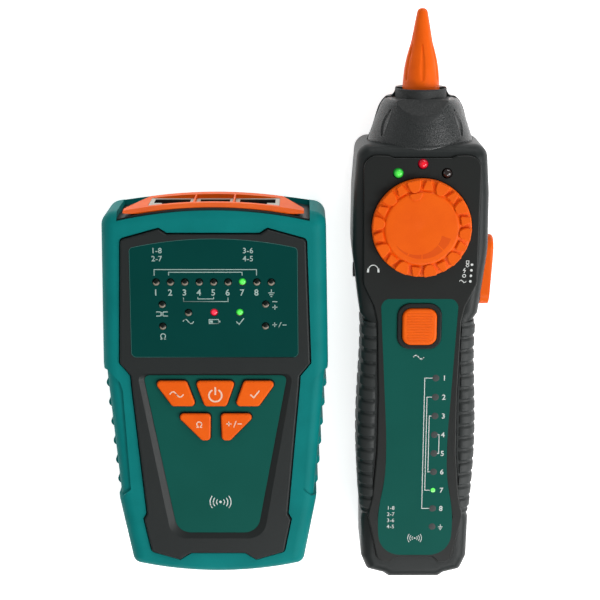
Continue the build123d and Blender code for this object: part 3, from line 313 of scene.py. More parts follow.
def nose_finish():
    """Coarse glittering grain on the dome; the scoop under the collar is smoother, with painted shade
    darkening its colour.
    """
    paint = Painter("nose_plastic")
    pits = paint.noise(0.36 * mm, detail=3, roughness=0.65)
    fleck = paint.noise(0.5 * mm, detail=1).step(0.5, 0.66)
    # the scoop is the inside of a parabola with its tip at y = 158.4 mm
    across = (paint.axis("X") - tip_axis.x) / (8.8 * mm)
    along = (paint.axis("Y") - on_rx(0, 158.4, 0).y) / (7.6 * mm)
    scoop = (along - across * across).step(-0.05, 0.1).held()
    dome = paint.blend(pits, (0.010, 0.0125, 0.0125), (0.026, 0.029, 0.029))
    # painted shade: inside the scoop the colour goes darker
    paint.set(Base_Color=paint.blend(scoop, dome, (0.007, 0.009, 0.009)))
    paint.set(Roughness=0.38 - pits * 0.1 - fleck * 0.18 + scoop * 0.35, Specular_IOR_Level=0.6)
    paint.bump(pits, 0.14 * mm, 0.8)
    return paint.material


case_plastic = case_finish("case_plastic", (0.014, 0.017, 0.017), (0.022, 0.026, 0.0255),
                           0.42, 0.05 * mm, 0.08, 0.22)
nose_plastic = nose_finish()
plate_plastic = case_finish("plate_plastic", (0.013, 0.0145, 0.014), (0.019, 0.021, 0.020),
                            0.36, 0.02 * mm, 0.04, 0.2)
print(case_plastic.name, nose_plastic.name, plate_plastic.name)

# %% [markdown]
# ## Printed film
# The labels are film printed on the back, so the colour lies under a satin skin with a
# very fine orange-peel.


# %% Label film
def film(name, dark, light):
    paint = Painter(name)
    cloud = paint.noise(18 * mm, detail=2)
    dots = paint.noise(0.22 * mm, detail=1)
    paint.set(Base_Color=paint.blend((cloud * 0.7 + dots * 0.3).held(), dark, light))
    paint.set(Roughness=0.36 + dots * 0.08, Specular_IOR_Level=0.05)
    paint.bump(paint.noise(0.5 * mm), 0.01 * mm, 0.4)
    return paint.material


display_film = film("display_film", (0.0006, 0.043, 0.037), (0.001, 0.058, 0.050))
keypad_film = film("keypad_film", (0.0048, 0.078, 0.060), (0.0072, 0.100, 0.080))
print(display_film.name, keypad_film.name)

# %% [markdown]
# ## Orange controls
# Buttons, dial, slider and tip share one orange with a satin grain. The bars pressed
# into the dial are a shade darker and duller.


# %% Orange plastic
def orange(name, roughness, depth, dark=(0.80, 0.094, 0.002), light=(0.94, 0.142, 0.004)):
    paint = Painter(name)
    cloud = paint.noise(9 * mm)
    grain = paint.noise(0.3 * mm, roughness=0.6)
    tone = (cloud - 0.5) + (grain - 0.5) * 0.6 + 0.5
    paint.set(Base_Color=paint.blend(tone.held(), dark, light))
    paint.set(Roughness=roughness - 0.05 + grain * 0.1, Specular_IOR_Level=0.14)
    paint.bump(grain, depth, 0.5)
    return paint.material


control_orange = orange("control_orange", 0.40, 0.025 * mm)
band_orange = orange("band_orange", 0.55, 0.02 * mm, (0.68, 0.068, 0.002), (0.80, 0.10, 0.003))
panel_orange = orange("panel_orange", 0.46, 0.02 * mm)
print(control_orange.name, band_orange.name, panel_orange.name)

# %% [markdown]
# ## Small parts
# Socket housings are grey engineering plastic; contacts are gold-plated wire; screws and
# the shaft are bright steel; boards are green solder mask over glass cloth; the battery
# is a wrapped can. Each gets its own small pattern.


# %% Socket plastic, metals, boards, batteries
def plain_moulding(name, dark, light, roughness, grain=0.4 * mm):
    paint = Painter(name)
    speck = paint.noise(grain, detail=2)
    cloud = paint.noise(6 * mm)
    paint.set(Base_Color=paint.blend((speck * 0.5 + cloud * 0.5).held(), dark, light))
    paint.set(Roughness=roughness + speck * 0.1)
    paint.bump(speck, 0.01 * mm, 0.4)
    return paint.material


def drawn_metal(name, dark, light, roughness):
    """Metal with fine lines along X, as drawing leaves them."""
    paint = Painter(name)
    stretched = paint.node("ShaderNodeMapping", {}, {"Vector": paint.place, "Scale": (60, 900, 900)})
    lines = paint.node("ShaderNodeTexNoise", {}, {"Vector": stretched, "Scale": 6.0, "Detail": 3.0}, "Fac")
    paint.set(Base_Color=paint.blend(lines, dark, light), Metallic=1.0, Roughness=roughness + lines * 0.15)
    paint.bump(lines, 0.004 * mm, 0.4)
    return paint.material


def solder_mask():
    """Green lacquer over the weave of glass cloth, whose threads are 0.7 mm apart."""
    paint = Painter("solder_mask")
    warp, weft = [paint.axis(letter) * 9000.0 for letter in "XY"]
    weave = warp.sum("SINE", warp) * weft.sum("SINE", weft)
    tone = paint.noise(3 * mm) * 0.7 + weave * 0.1 + 0.2
    paint.set(Base_Color=paint.blend(tone.held(), (0.006, 0.06, 0.02), (0.02, 0.16, 0.05)), Roughness=0.3)
    return paint.material


def wrapped_can():
    paint = Painter("battery_wrap")
    scuff = paint.noise(1.2 * mm, detail=4)
    paint.set(Base_Color=paint.blend(scuff, (0.03, 0.03, 0.034), (0.07, 0.07, 0.075)))
    paint.set(Metallic=0.4, Roughness=0.25 + scuff * 0.2)
    return paint.material


socket_plastic = plain_moulding("socket_plastic", (0.40, 0.39, 0.32), (0.50, 0.49, 0.42), 0.4)
black_plastic = plain_moulding("black_plastic", (0.010, 0.010, 0.010), (0.020, 0.020, 0.020), 0.35)
ferrite = plain_moulding("ferrite", (0.02, 0.02, 0.022), (0.05, 0.05, 0.05), 0.5)
contact_gold = drawn_metal("contact_gold", (0.75, 0.50, 0.16), (0.95, 0.72, 0.32), 0.18)
bright_steel = drawn_metal("bright_steel", (0.45, 0.45, 0.46), (0.68, 0.68, 0.68), 0.22)
board_green = solder_mask()
battery_wrap = wrapped_can()


def jack_housing(face):
    """Grey housing plastic whose colour turns near black behind the mouth as painted shade; the rim of the
    mouth is at face.
    """
    paint = Painter("jack_plastic")
    speck = paint.noise(0.4 * mm)
    # painted shade: the colour goes dark just behind the rim of the mouth
    inside = ((face - paint.axis("Y")) / mm).step(0.05, 0.3).held()
    grey = paint.blend(speck, (0.36, 0.35, 0.29), (0.48, 0.47, 0.40))
    paint.set(Base_Color=paint.blend(inside, grey, (0.006, 0.006, 0.006)), Roughness=0.4 + inside * 0.3)
    return paint.material


jack_plastic = jack_housing(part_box("tx_left_jack")[1].y)
print("small finishes made")

# %% [markdown]
# ## Lamps
# A dark lamp is tinted resin with a deep glint. A lit one glows from a chip at its
# heart, so it is brightest in the middle of the dome and deeper at the rim: the glow is
# tied to how far a point is from the lamp's own axis.


# %% Lamp finishes
def lamp_places(node):
    """Centres of the separate lamps in one node, found from its top points."""
    points = [v.co for v in nodes[node].data.vertices]
    top = max(p.z for p in points)
    found = []
    for p in points:
        if p.z > top - 0.3 * mm and all(hypot(p.x - q[0], p.y - q[1]) > 2 * mm for q in found):
            found.append((p.x, p.y))
    centres = []
    for q in found:
        near = [p for p in points if hypot(p.x - q[0], p.y - q[1]) < 2.4 * mm]
        centres.append([(min(p[k] for p in near) + max(p[k] for p in near)) / 2 for k in (0, 1)])
    return centres


def lit(name, centres, core, rim, radius, power):
    """A lamp that is on: core colour in the middle of each dome, rim colour at its edge."""
    paint = Painter(name)
    spread = None
    for x, y in centres:
        away_x, away_y = paint.axis("X") - x, paint.axis("Y") - y
        near = (away_x * away_x + away_y * away_y).power(0.5) / radius
        spread = near if spread is None else near.sum("MINIMUM", near, spread)
    glow = (1 - spread).held()
    grain = paint.noise(0.3 * mm)
    hot = (glow * 1.25 + grain * 0.1).held()
    paint.set(Base_Color=paint.blend(hot, rim, core), Roughness=0.12 + grain * 0.04)
    paint.set(Emission_Color=paint.blend(hot, rim, core), Emission_Strength=power)
    return paint.material


def unlit(name, dark, light):
    """A lamp that is off, or clear resin."""
    paint = Painter(name)
    depth = paint.noise(0.9 * mm, detail=2)
    paint.set(Base_Color=paint.blend(depth, dark, light), Roughness=0.08 + depth * 0.05)
    paint.set(Coat_Weight=0.6)
    return paint.material


lamp_finish = {}
for name, core, rim, radius, power in (
    ("tx_lamps_green", (0.10, 0.85, 0.09), (0.0, 0.26, 0.02), 1.25, 0.7),
    ("rx_lamp_green", (0.08, 0.74, 0.07), (0.0, 0.20, 0.02), 1.6, 0.55),
    ("rx_map_lamp_lit", (0.14, 0.95, 0.12), (0.0, 0.28, 0.02), 1.25, 0.8),
    ("tx_lamp_red", (0.85, 0.035, 0.07), (0.30, 0.0, 0.012), 1.25, 0.75),
    ("rx_lamp_red", (0.66, 0.008, 0.02), (0.22, 0.0, 0.01), 1.6, 0.6),
):
    lamp_finish[name] = lit(name + "_glow", lamp_places(name), core, rim, radius * mm, power)
dark_resin = unlit("dark_resin", (0.006, 0.004, 0.004), (0.03, 0.016, 0.014))
clear_resin = unlit("clear_resin", (0.45, 0.45, 0.42), (0.7, 0.7, 0.66))
# the dark windows of the transmitter, the dark lamps of the wire map, and painted light on a window's lower
# wall
window_resin = case_finish("window_resin", (0.002, 0.006, 0.004), (0.005, 0.011, 0.009),
                           0.3, 0.01 * mm, 0.05, 0.2)
map_resin = plain_moulding("map_resin", (0.020, 0.028, 0.027), (0.036, 0.044, 0.043), 0.5, 0.8 * mm)
window_wall_light = plain_moulding("window_wall_light", (0.20, 0.17, 0.13), (0.34, 0.29, 0.22), 0.35, 0.5 * mm)
print("lamps at", {n: len(lamp_places(n)) for n in lamp_finish})

# %% [markdown]
# ## Dress the carried-over pieces
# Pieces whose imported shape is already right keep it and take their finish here. The
# others are modelled again further on.

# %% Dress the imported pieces
finish_of = {
    jacket_rubber: ["tx_grip_jacket"],
    case_plastic: ["tx_front_cover", "tx_rear_cover", "tx_battery_door", "rx_rear_shell", "rx_battery_door"],
    plate_plastic: ["rx_front_plate"],
    display_film: ["tx_display_label"],
    keypad_film: ["tx_keypad_label"],
    control_orange: ["tx_scan_button", "tx_power_button", "tx_test_button", "tx_ohm_button",
                     "tx_polarity_button", "rx_mode_slider"],
    panel_orange: ["tx_socket_panel"],
    jack_plastic: ["tx_left_jack", "tx_middle_jack", "tx_right_jack"],
    socket_plastic: ["rx_socket"],
    black_plastic: ["tx_battery_snap", "rx_battery_snap", "rx_mode_switch", "rx_switch_lever",
                    "rx_potentiometer", "rx_headphone_jack", "rx_antenna_clip", "rx_speaker"],
    ferrite: ["rx_antenna_rod"],
    contact_gold: ["tx_jack_contacts", "rx_socket_contacts", "tx_key_domes", "rx_key_dome"],
    bright_steel: ["tx_case_screws", "tx_door_screw", "rx_case_screws", "rx_pot_shaft"],
    board_green: ["tx_circuit_board", "rx_circuit_board"],
    battery_wrap: ["tx_battery", "rx_battery"],
    clear_resin: ["rx_torch_lamp"],
}
for finish, names in finish_of.items():
    for name in names:
        piece = nodes[name]
        if not piece.data.materials:
            piece.data.materials.append(finish)
        for slot in piece.material_slots:
            slot.material = finish
print("dressed", sum(len(names) for names in finish_of.values()), "of", len(nodes))

# %% [markdown]
# ## Modelling helpers
# A mesh piece is closed, faces outwards, takes a finish and rides on one body of the
# frame. A loft joins rings of points, which is how a moulder's pattern maker would think
# of a tip or a dial: one section after another.


# %% Mesh pieces, lofts and pads
def mesh_piece(name, points, faces, finish, body, slot, stands_for=(), degrees=35):
    """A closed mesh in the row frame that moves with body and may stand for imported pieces."""
    mesh = bpy.data.meshes.new(name)
    mesh.from_pydata([tuple(p) for p in points], [], faces)
    work = bmesh.new()
    work.from_mesh(mesh)
    bmesh.ops.remove_doubles(work, verts=work.verts, dist=1e-7)
    bmesh.ops.recalc_face_normals(work, faces=work.faces)
    work.to_mesh(mesh)
    work.free()
    mesh.materials.append(finish)
    for polygon in mesh.polygons:
        polygon.use_smooth = True
    mesh.set_sharp_from_angle(angle=radians(degrees))
    piece = bpy.data.objects.new(name, mesh)
    scene.collection.objects.link(piece)
    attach(piece, body)
    if stands_for:
        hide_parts(*stands_for)
    print(name, len(mesh.polygons), "faces")


def loft(rings):
    """Points and faces of a closed skin through rings of equally many points."""
    count = len(rings[0])
    points = [p for ring in rings for p in ring]
    last = (len(rings) - 1) * count
    faces = [tuple(range(count)), tuple(range(last, last + count))]
    for here in range(0, last, count):
        for i in range(count):
            j = (i + 1) % count
            faces.append((here + i, here + j, here + count + j, here + count + i))
    return points, faces


def around(count):
    """The angles of that many even steps round a circle."""
    return [2 * pi * i / count for i in range(count)]


def in_mm(x, y, z):
    return Vector((x, y, z)) * mm


def turned(profile, count, place):
    """A turned shape: profile lists (radius, level), and place sets each point down."""
    return loft([[place(r * cos(a), r * sin(a), level) for a in around(count)] for r, level in profile])


def rounded(corners, radii, steps=6):
    """Closed outline with rounded corners, as a list of points."""
    path = []
    for i, corner in enumerate(corners):
        here = Vector(corner)
        back = (Vector(corners[i - 1]) - here).normalized()
        ahead = (Vector(corners[(i + 1) % len(corners)]) - here).normalized()
        radius = radii[i] if isinstance(radii, (list, tuple)) else radii
        if radius == 0:
            path.append(here)
            continue
        half = back.angle(ahead) / 2
        reach = radius / np.tan(half)
        centre = here + (back + ahead).normalized() * radius / sin(half)
        start, end = here + back * reach - centre, here + ahead * reach - centre
        for k in range(steps + 1):
            share = k / steps
            path.append(centre + start.slerp(end, share).normalized() * radius)
    return path


def shrunk(path, inset):
    """The closed outline with each point moved inwards, for a path that runs left-handed."""
    moved = []
    for i, here in enumerate(path):
        along = path[(i + 1) % len(path)] - path[i - 1]
        moved.append(here + Vector((-along.y, along.x)).normalized() * inset)
    return moved


def pad(path, low, high, edge, steps=5, place=in_mm):
    """A slab with a cushion edge over a plan outline, in millimetres."""
    area = sum(a.x * b.y - b.x * a.y for a, b in zip(path, path[1:] + path[:1]))
    if area < 0:
        path = path[::-1]
    rings = [[place(p.x, p.y, low) for p in path]]
    for k in range(steps + 1):
        turn = pi / 2 * k / steps
        level = high - edge + edge * sin(turn)
        rings.append([place(p.x, p.y, level) for p in shrunk(path, edge * (1 - cos(turn)))])
    rings.append([place(p.x, p.y, high) for p in shrunk(path, edge * 1.2)])
    return loft(rings)


def merged(parts):
    """Several (points, faces) as one."""
    points, faces = [], []
    for more_points, more_faces in parts:
        base = len(points)
        points += list(more_points)
        faces += [tuple(base + i for i in face) for face in more_faces]
    return points, faces


print("modelling helpers ready")

# %% [markdown]
# ## Copies by Geometry Nodes
# Lobes, lamps and ribs are one shape put down many times. The tree takes the spots as
# points, each with a turn and a size, and sets the same shape on every one.


# %% Copies of one shape
def copies(name, shape, spots, finish, body, slot, stands_for=(), degrees=35):
    """Copies of shape (points, faces) at spots [(place, turn about Z, size)]."""
    tree = bpy.data.node_groups.new(name + "_copies", "GeometryNodeTree")
    sockets = {}
    for label, kind in (("Spots", "NodeSocketGeometry"), ("Shape", "NodeSocketObject"),
                        ("Finish", "NodeSocketMaterial"), ("Overall Size", "NodeSocketFloat")):
        sockets[label] = tree.interface.new_socket(label, in_out="INPUT", socket_type=kind).identifier
    tree.interface.new_socket("Copies", in_out="OUTPUT", socket_type="NodeSocketGeometry")
    entry, leave = tree.nodes.new("NodeGroupInput"), tree.nodes.new("NodeGroupOutput")
    shape_info = tree.nodes.new("GeometryNodeObjectInfo")
    to_points = tree.nodes.new("GeometryNodeMeshToPoints")
    turn = tree.nodes.new("GeometryNodeInputNamedAttribute")
    turn.data_type = "FLOAT_VECTOR"
    turn.inputs["Name"].default_value = "turn"
    size = tree.nodes.new("GeometryNodeInputNamedAttribute")
    size.data_type = "FLOAT_VECTOR"
    size.inputs["Name"].default_value = "size"
    as_turn = tree.nodes.new("FunctionNodeEulerToRotation")
    scale = tree.nodes.new("ShaderNodeVectorMath")
    scale.operation = "SCALE"
    put = tree.nodes.new("GeometryNodeInstanceOnPoints")
    real = tree.nodes.new("GeometryNodeRealizeInstances")
    dress = tree.nodes.new("GeometryNodeSetMaterial")
    link = tree.links.new
    link(entry.outputs["Spots"], to_points.inputs["Mesh"])
    link(entry.outputs["Shape"], shape_info.inputs["Object"])
    link(to_points.outputs["Points"], put.inputs["Points"])
    link(shape_info.outputs["Geometry"], put.inputs["Instance"])
    link(turn.outputs["Attribute"], as_turn.inputs[0])
    link(as_turn.outputs[0], put.inputs["Rotation"])
    link(size.outputs["Attribute"], scale.inputs[0])
    link(entry.outputs["Overall Size"], scale.inputs["Scale"])
    link(scale.outputs[0], put.inputs["Scale"])
    link(put.outputs[0], real.inputs[0])
    link(real.outputs[0], dress.inputs["Geometry"])
    link(entry.outputs["Finish"], dress.inputs["Material"])
    link(dress.outputs[0], leave.inputs[0])

    pattern_mesh = bpy.data.meshes.new(name + "_pattern")
    pattern_mesh.from_pydata([tuple(p) for p in shape[0]], [], shape[1])
    pattern = bpy.data.objects.new(name + "_pattern", pattern_mesh)
    spots_mesh = bpy.data.meshes.new(name + "_spots")
    spots_mesh.from_pydata([tuple(place) for place, _, _ in spots], [], [])
    for label, values in (("turn", [(0, 0, t) for _, t, _ in spots]), ("size", [s for _, _, s in spots])):
        store = spots_mesh.attributes.new(label, "FLOAT_VECTOR", "POINT")
        store.data.foreach_set("vector", [float(v) for triple in values for v in triple])
    holder = bpy.data.objects.new(name + "_spots", spots_mesh)
    for thing in (pattern, holder):
        scene.collection.objects.link(thing)
    modifier = holder.modifiers.new("copies", "NODES")
    modifier.node_group = tree
    modifier[sockets["Shape"]] = pattern
    modifier[sockets["Finish"]] = finish
    modifier[sockets["Overall Size"]] = 1.0
    bpy.context.view_layer.update()
    made = bpy.data.meshes.new_from_object(holder.evaluated_get(bpy.context.evaluated_depsgraph_get()))
    points = [v.co.copy() for v in made.vertices]
    faces = [tuple(p.vertices) for p in made.polygons]
    for thing in (pattern, holder):
        bpy.data.objects.remove(thing)
    mesh_piece(name, points, faces, finish, body, slot, stands_for, degrees)


print("copies ready")

# %% [markdown]
# ## Lamps
# Small lamps are resin domes standing in round windows. The dome is a short turned
# profile. The map lamps of the receiver hardly rise above its film.

# %% Lamp domes
def dome(radius, high, low):
    """A dome with a short stem: radius, top and stem length in millimetres."""
    profile = [(radius, -low)]
    for k in range(7):
        turn = pi / 2 * k / 6
        profile.append((max(radius * cos(turn), 0.04), high * sin(turn)))
    return turned(profile, 24, in_mm)


lamp_rows = {
    "tx_lamps_dark": (1.12, 0.6, window_resin, "lamp_dark", "transmitter"),
    "tx_lamps_green": (1.25, 0.75, lamp_finish["tx_lamps_green"], "lamp_green", "transmitter"),
    "tx_lamp_red": (1.25, 0.75, lamp_finish["tx_lamp_red"], "lamp_red", "transmitter"),
    "rx_lamp_green": (1.6, 1.3, lamp_finish["rx_lamp_green"], "lamp_green", "receiver"),
    "rx_lamp_red": (1.6, 1.3, lamp_finish["rx_lamp_red"], "lamp_red", "receiver"),
    "rx_lamp_dark": (1.6, 1.3, dark_resin, "lamp_dark", "receiver"),
    "rx_map_lamps_dark": (1.25, 0.1, map_resin, "lamp_dark", "receiver"),
    "rx_map_lamp_lit": (1.25, 0.3, lamp_finish["rx_map_lamp_lit"], "lamp_green", "receiver"),
}
for name, (radius, high, finish, slot, body) in lamp_rows.items():
    foot = (rx_face + 0.1 * mm if "map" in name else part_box(name)[1].z) - high * mm
    spots = [(Vector((x, y, foot)), 0.3 * i, (1, 1, 1)) for i, (x, y) in enumerate(lamp_places(name))]
    copies(name + "_domes", dome(radius, high, 1.2), spots, finish, body, slot, (name,), 60)
    if name.startswith("tx_lamps"):
        # painted light: a pale crescent on the lower side of each window stands for its lit lower wall
        spots = [(place + Vector((0, -0.42, 0.2)) * mm, turn, size) for place, turn, size in spots]
        copies(name + "_skirts", dome(1.1, 0.3, 0.9), spots, window_wall_light, body, "lamp_dark", (), 60)

# %% [markdown]
# ## Volume dial
# A low disc with a raised face. Round its rim run ten broad thumb lobes, rounded towards
# the middle, and ten narrow wedges between them. One more lobe reaches onto the face as
# the pointer. The rising band of four bars on the face is pressed in a shade darker.

# %% Dial disc, lobes and pointer
dial_low_corner, dial_high_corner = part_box("rx_volume_dial")
dial_centre = (dial_low_corner + dial_high_corner) / 2
dial_reach = (dial_high_corner.x - dial_low_corner.x) / 2 / mm


def on_dial(x, y, z):
    """A point of the dial: millimetres from its axis and from its highest level."""
    return Vector((dial_centre.x + x * mm, dial_centre.y + y * mm, dial_high_corner.z + z * mm))


profile = [(0.05, -3.1), (dial_reach - 0.3, -3.1), (dial_reach, -2.8), (dial_reach, -1.6),
           (dial_reach - 0.12, -1.3), (dial_reach - 0.45, -1.12), (dial_reach - 1.2, -1.02),
           (12.6, -0.95), (12.25, -0.85), (12.02, -0.46), (11.8, -0.34), (11.3, -0.3), (8.0, -0.3),
           (4.0, -0.32), (1.6, -0.35), (0.9, -0.42), (0.05, -0.44)]
mesh_piece("dial_disc", *turned(profile, 144, on_dial), control_orange, "rx_dial", "orange_plastic",
           ("rx_volume_dial",), 50)

lobe_reach = 15.85
pointer_turn = radians(11.0)
broad = rounded([(-2.35, 0.15), (2.35, 0.15), (1.95, -2.0), (1.1, -3.75), (-1.1, -3.75), (-1.95, -2.0)],
                [0.6, 0.6, 1.6, 1.2, 1.2, 1.6])
wedge = rounded([(-0.85, 0.1), (0.85, 0.1), (1.75, -3.1), (-1.75, -3.1)], 0.45)
pointer = rounded([(-2.5, -3.9), (2.5, -3.9), (1.9, -5.2), (0.9, -6.3), (-0.9, -6.3), (-1.9, -5.2)],
                  [0.5, 0.5, 1.0, 1.0, 1.0, 1.0])
for name, shape, rise, shift, count, degrees in (
    ("dial_lobes", pad(broad, -1.5, 0.0, 0.32), 0.12, 0.0, 10, 40),
    ("dial_wedges", pad(wedge, -1.5, 0.0, 0.32), 0.0, 0.5, 10, 40),
    ("dial_pointer", pad(pointer, -1.0, 0.15, 0.32), 0.0, 0.0, 1, 50),
):
    spots = []
    for i in range(count):
        turn = pointer_turn - 2 * pi * (i + shift) / 10
        spots.append((on_dial(-sin(turn) * lobe_reach, cos(turn) * lobe_reach, rise), turn, (1, 1, 1)))
    copies(name, shape, spots, control_orange, "rx_dial", "orange_plastic", (), degrees)


def bar(start, end):
    """One bar of the rising band, between two clock angles in degrees."""
    outer, inner = [], []
    for k in range(17):
        clock = start + (end - start) * k / 16
        wide = 5.4 * (240 - clock) / 228 + 0.1
        ray = Vector((sin(radians(clock)), cos(radians(clock))))
        outer.append(ray * 10.0)
        inner.append(ray * (10.0 - wide))
    return pad(outer + inner[::-1], -0.4, -0.285, 0.03, 1, on_dial)


bars = [bar(109, 134), bar(136, 178), bar(180, 206), bar(208, 236)]
mesh_piece("dial_band", *merged(bars), band_orange, "rx_dial", "orange_plastic")

# %% [markdown]
# ## Probe tip
# The tip is turned, then six leaf-shaped grooves are milled in so that it can be gripped
# and pulled off. A grid wound round the axis gives both: each point has an angle and a
# distance along the tip, and the leaf mask lowers the radius there.

# %% Probe tip
tip_profile = [(-28.3, 6.1), (-27.2, 6.1), (-25.9, 6.08), (-22.5, 5.85), (-19.2, 5.45), (-15.6, 4.75),
               (-12.4, 3.95), (-11.1, 3.55), (-6.6, 2.72), (-3.2, 2.1), (-1.7, 1.82), (-0.85, 1.6),
               (-0.3, 1.15), (-0.08, 0.7), (0, 0.25)]
leaf_stem, leaf_long, leaf_deep = -23.0, 11.6, 0.4
along = [-28.3 + 0.35 * k for k in range(79)] + [-0.9, -0.7, -0.5, -0.3, -0.15, -0.05, 0.0]
reach_at = np.interp(along, [p[0] for p in tip_profile], [p[1] for p in tip_profile])
soft = np.convolve(np.pad(reach_at, 3, mode="edge"), np.ones(7) / 7, mode="valid")
reach_at = np.where(np.array(along) < -2.5, soft, reach_at)


def leaf(share, across):
    """1 in the middle of a leaf, 0 outside: share runs 0..1 from stem to point."""
    if not 0 < share < 1:
        return 0.0
    half = 0.85 * sin(pi * share ** 0.62) ** 0.75
    return max(0.0, 1 - (across / max(half, 0.05)) ** 2)


rings = []
for level, reach in zip(along, reach_at):
    share = (level - leaf_stem) / leaf_long
    swell = 0.1 * sin(pi * min(max(share, 0), 1))
    ring = []
    for turn in around(120):
        # the six leaves are a sixth of a turn apart, and one of them looks up
        nearest = (turn - pi / 2 + pi / 6) % (pi / 3) - pi / 6
        r = max(reach + swell - leaf_deep * leaf(share, nearest * reach), 0.15) * mm
        ring.append(Vector((tip_axis.x + r * cos(turn), tip_high.y + level * mm, tip_axis.z + r * sin(turn))))
    rings.append(ring)
mesh_piece("probe_tip", *loft(rings), control_orange, "receiver", "orange_plastic", ("rx_probe_tip",), 55)

# %% [markdown]
# ## Nose skin
# The nose of the receiver is one moulding with a sloping scoop under the collar, a dome,
# two leaf flutes and a slim bead where the dome meets the shoulder. All of that can be read
# as a height over the plan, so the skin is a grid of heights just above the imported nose.

# %% Nose skin
nose_z = tip_axis.z / mm


def lower_of(first, second, blend):
    """The lower of two heights, with the corner between them rounded over blend."""
    share = min(max(0.5 + 0.5 * (second - first) / blend, 0), 1)
    return second + (first - second) * share - blend * share * (1 - share)


# half width and height of the dome at some levels along the receiver
dome_y = [148.0, 150.4, 152.4, 157.2, 161.6, 164.0, 165.2, 165.7, 165.95]
dome_wide = [17.9, 17.5, 17.2, 15.6, 14.0, 13.1, 12.2, 11.6, 9.6]
dome_high = [12.95, 12.9, 12.8, 12.5, 12.1, 11.8, 11.5, 11.2, 9.4]


def nose_height(x, y):
    """Height of the nose over its plan in local millimetres, 0 beyond its edge."""
    wide = float(np.interp(y, dome_y, dome_wide))
    high = float(np.interp(y, dome_y, dome_high))
    if abs(x) >= wide:
        return 0.0
    dome_z = high * (1 - (x / wide) ** 2) ** 0.5
    scoop = 8.4 + 0.74 * (166.0 - y) - 0.007 * x * x
    body = lower_of(dome_z, scoop, 0.2)
    # a slim raised bead where the dome meets the shoulder
    foot = 150.6 + 1.3 * (x / 13.0) ** 2
    body += 0.1 * max(0.0, 1 - abs(y - foot - 0.3) / 0.6)
    # a leaf flute with raised lips on each side, 9.2 mm long
    share = (y - 153.8) / 9.2
    if 0 < share < 1:
        middle = 13.0 - 3.0 * share + 0.5 * sin(pi * share)
        across = abs(abs(x) - middle) / (0.72 * sin(pi * share) ** 0.7)
        if across < 1:
            body -= 0.5 * (1 - across * across) ** 1.5
        elif across < 1.6:
            body += 0.1 * sin(pi * (across - 1) / 0.6)
    return body


def nose_rings():
    """Half-oval sections from the shoulder to the collar, closed underneath."""
    rings = []
    for y in [149.4 + 0.2 * k for k in range(83)] + [165.95, 166.0]:
        wide = float(np.interp(y, dome_y, dome_wide)) - 0.02
        ring = []
        for x in [-wide * cos(pi * k / 160) for k in range(161)]:
            ring.append(on_rx(x, y, nose_z + max(nose_height(x, y), 0.0) + 0.06))
        for k in range(1, 12):
            ring.append(on_rx(wide * (1 - k / 6) * 0.96, y, nose_z - 0.4))
        rings.append(ring)
    return rings


mesh_piece("nose_skin", *loft(nose_rings()), nose_plastic, "receiver", "case_plastic", (), 70)

# %% [markdown]
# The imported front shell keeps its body, but its nose would show through the flutes, so a
# copy of the shell is cut off just behind the foot of the dome and closed there.

# %% Front shell without its nose
work = bmesh.new()
work.from_mesh(nodes["rx_front_shell"].data)
bmesh.ops.remove_doubles(work, verts=work.verts, dist=2e-7)
everything = work.verts[:] + work.edges[:] + work.faces[:]
cut = on_rx(0, 152.05, 0)
bmesh.ops.bisect_plane(work, geom=everything, plane_co=cut, plane_no=(0, 1, 0), clear_outer=True)
bmesh.ops.triangle_fill(work, edges=[e for e in work.edges if e.is_boundary], use_beauty=True)
print("open edges left:", sum(e.is_boundary for e in work.edges))
work.verts.index_update()
shell_points = [v.co.copy() for v in work.verts]
shell_faces = [tuple(v.index for v in f.verts) for f in work.faces]
work.free()
mesh_piece("front_shell_body", shell_points, shell_faces, case_plastic, "receiver", "case_plastic",
           ("rx_front_shell",))

# %% [markdown]
# ## Collar
# The collar is a turned ring with a thin lip and a shallow seat for the tip.

# %% Collar
def on_nose(across, up, level):
    """A point round the axis of the probe, level millimetres along the receiver."""
    return Vector((tip_axis.x + across * mm, on_rx(0, level, 0).y, tip_axis.z + up * mm))


profile = [(7.4, 160.0), (8.2, 163.6), (8.55, 165.2), (8.5, 165.8), (8.42, 166.3), (8.38, 166.9),
           (8.35, 167.5), (8.36, 167.9), (8.42, 168.3), (8.46, 168.65), (8.38, 168.88), (8.2, 168.98),
           (7.95, 168.9), (7.6, 168.6), (7.3, 168.3), (6.15, 168.2)]
mesh_piece("collar_ring", *turned(profile, 96, on_nose), nose_plastic, "receiver", "case_plastic", (), 60)

# %% [markdown]
# ## Ribbed grips
# The side grips are rubber skins that lap from the side of the receiver over its rounded
# edge to the seam of the front plate. Some sixteen ribs cross each. The skin is a grid: one
# way up the side and over the edge, the other way along the receiver.

# %% Ribbed grips
# half width of the grips and of the front plate's seam at some levels along the receiver
grip_y = [25.0, 43.0, 57.0, 78.0, 92.4]
grip_x = np.polyfit(grip_y, [18.9, 19.9, 20.0, 19.1, 19.2], 4)
seam_y = [24.0, 31.6, 47.4, 67.0, 93.2]
seam_x = [16.3, 15.0, 13.9, 13.7, 14.4]
shell_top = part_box("rx_front_shell")[1].z / mm
grip_low, grip_high = 24.3, 92.9
edge_radius = 4.6


def rib_height(y):
    """0 in a groove and 1 on a rib; ribs are 4.4 mm apart."""
    phase = ((y - 25.9) / 4.4) % 1.0
    return min(max((0.5 - abs(phase - 0.5)) * 8.0 - 0.8, 0.0), 1.0) ** 0.6


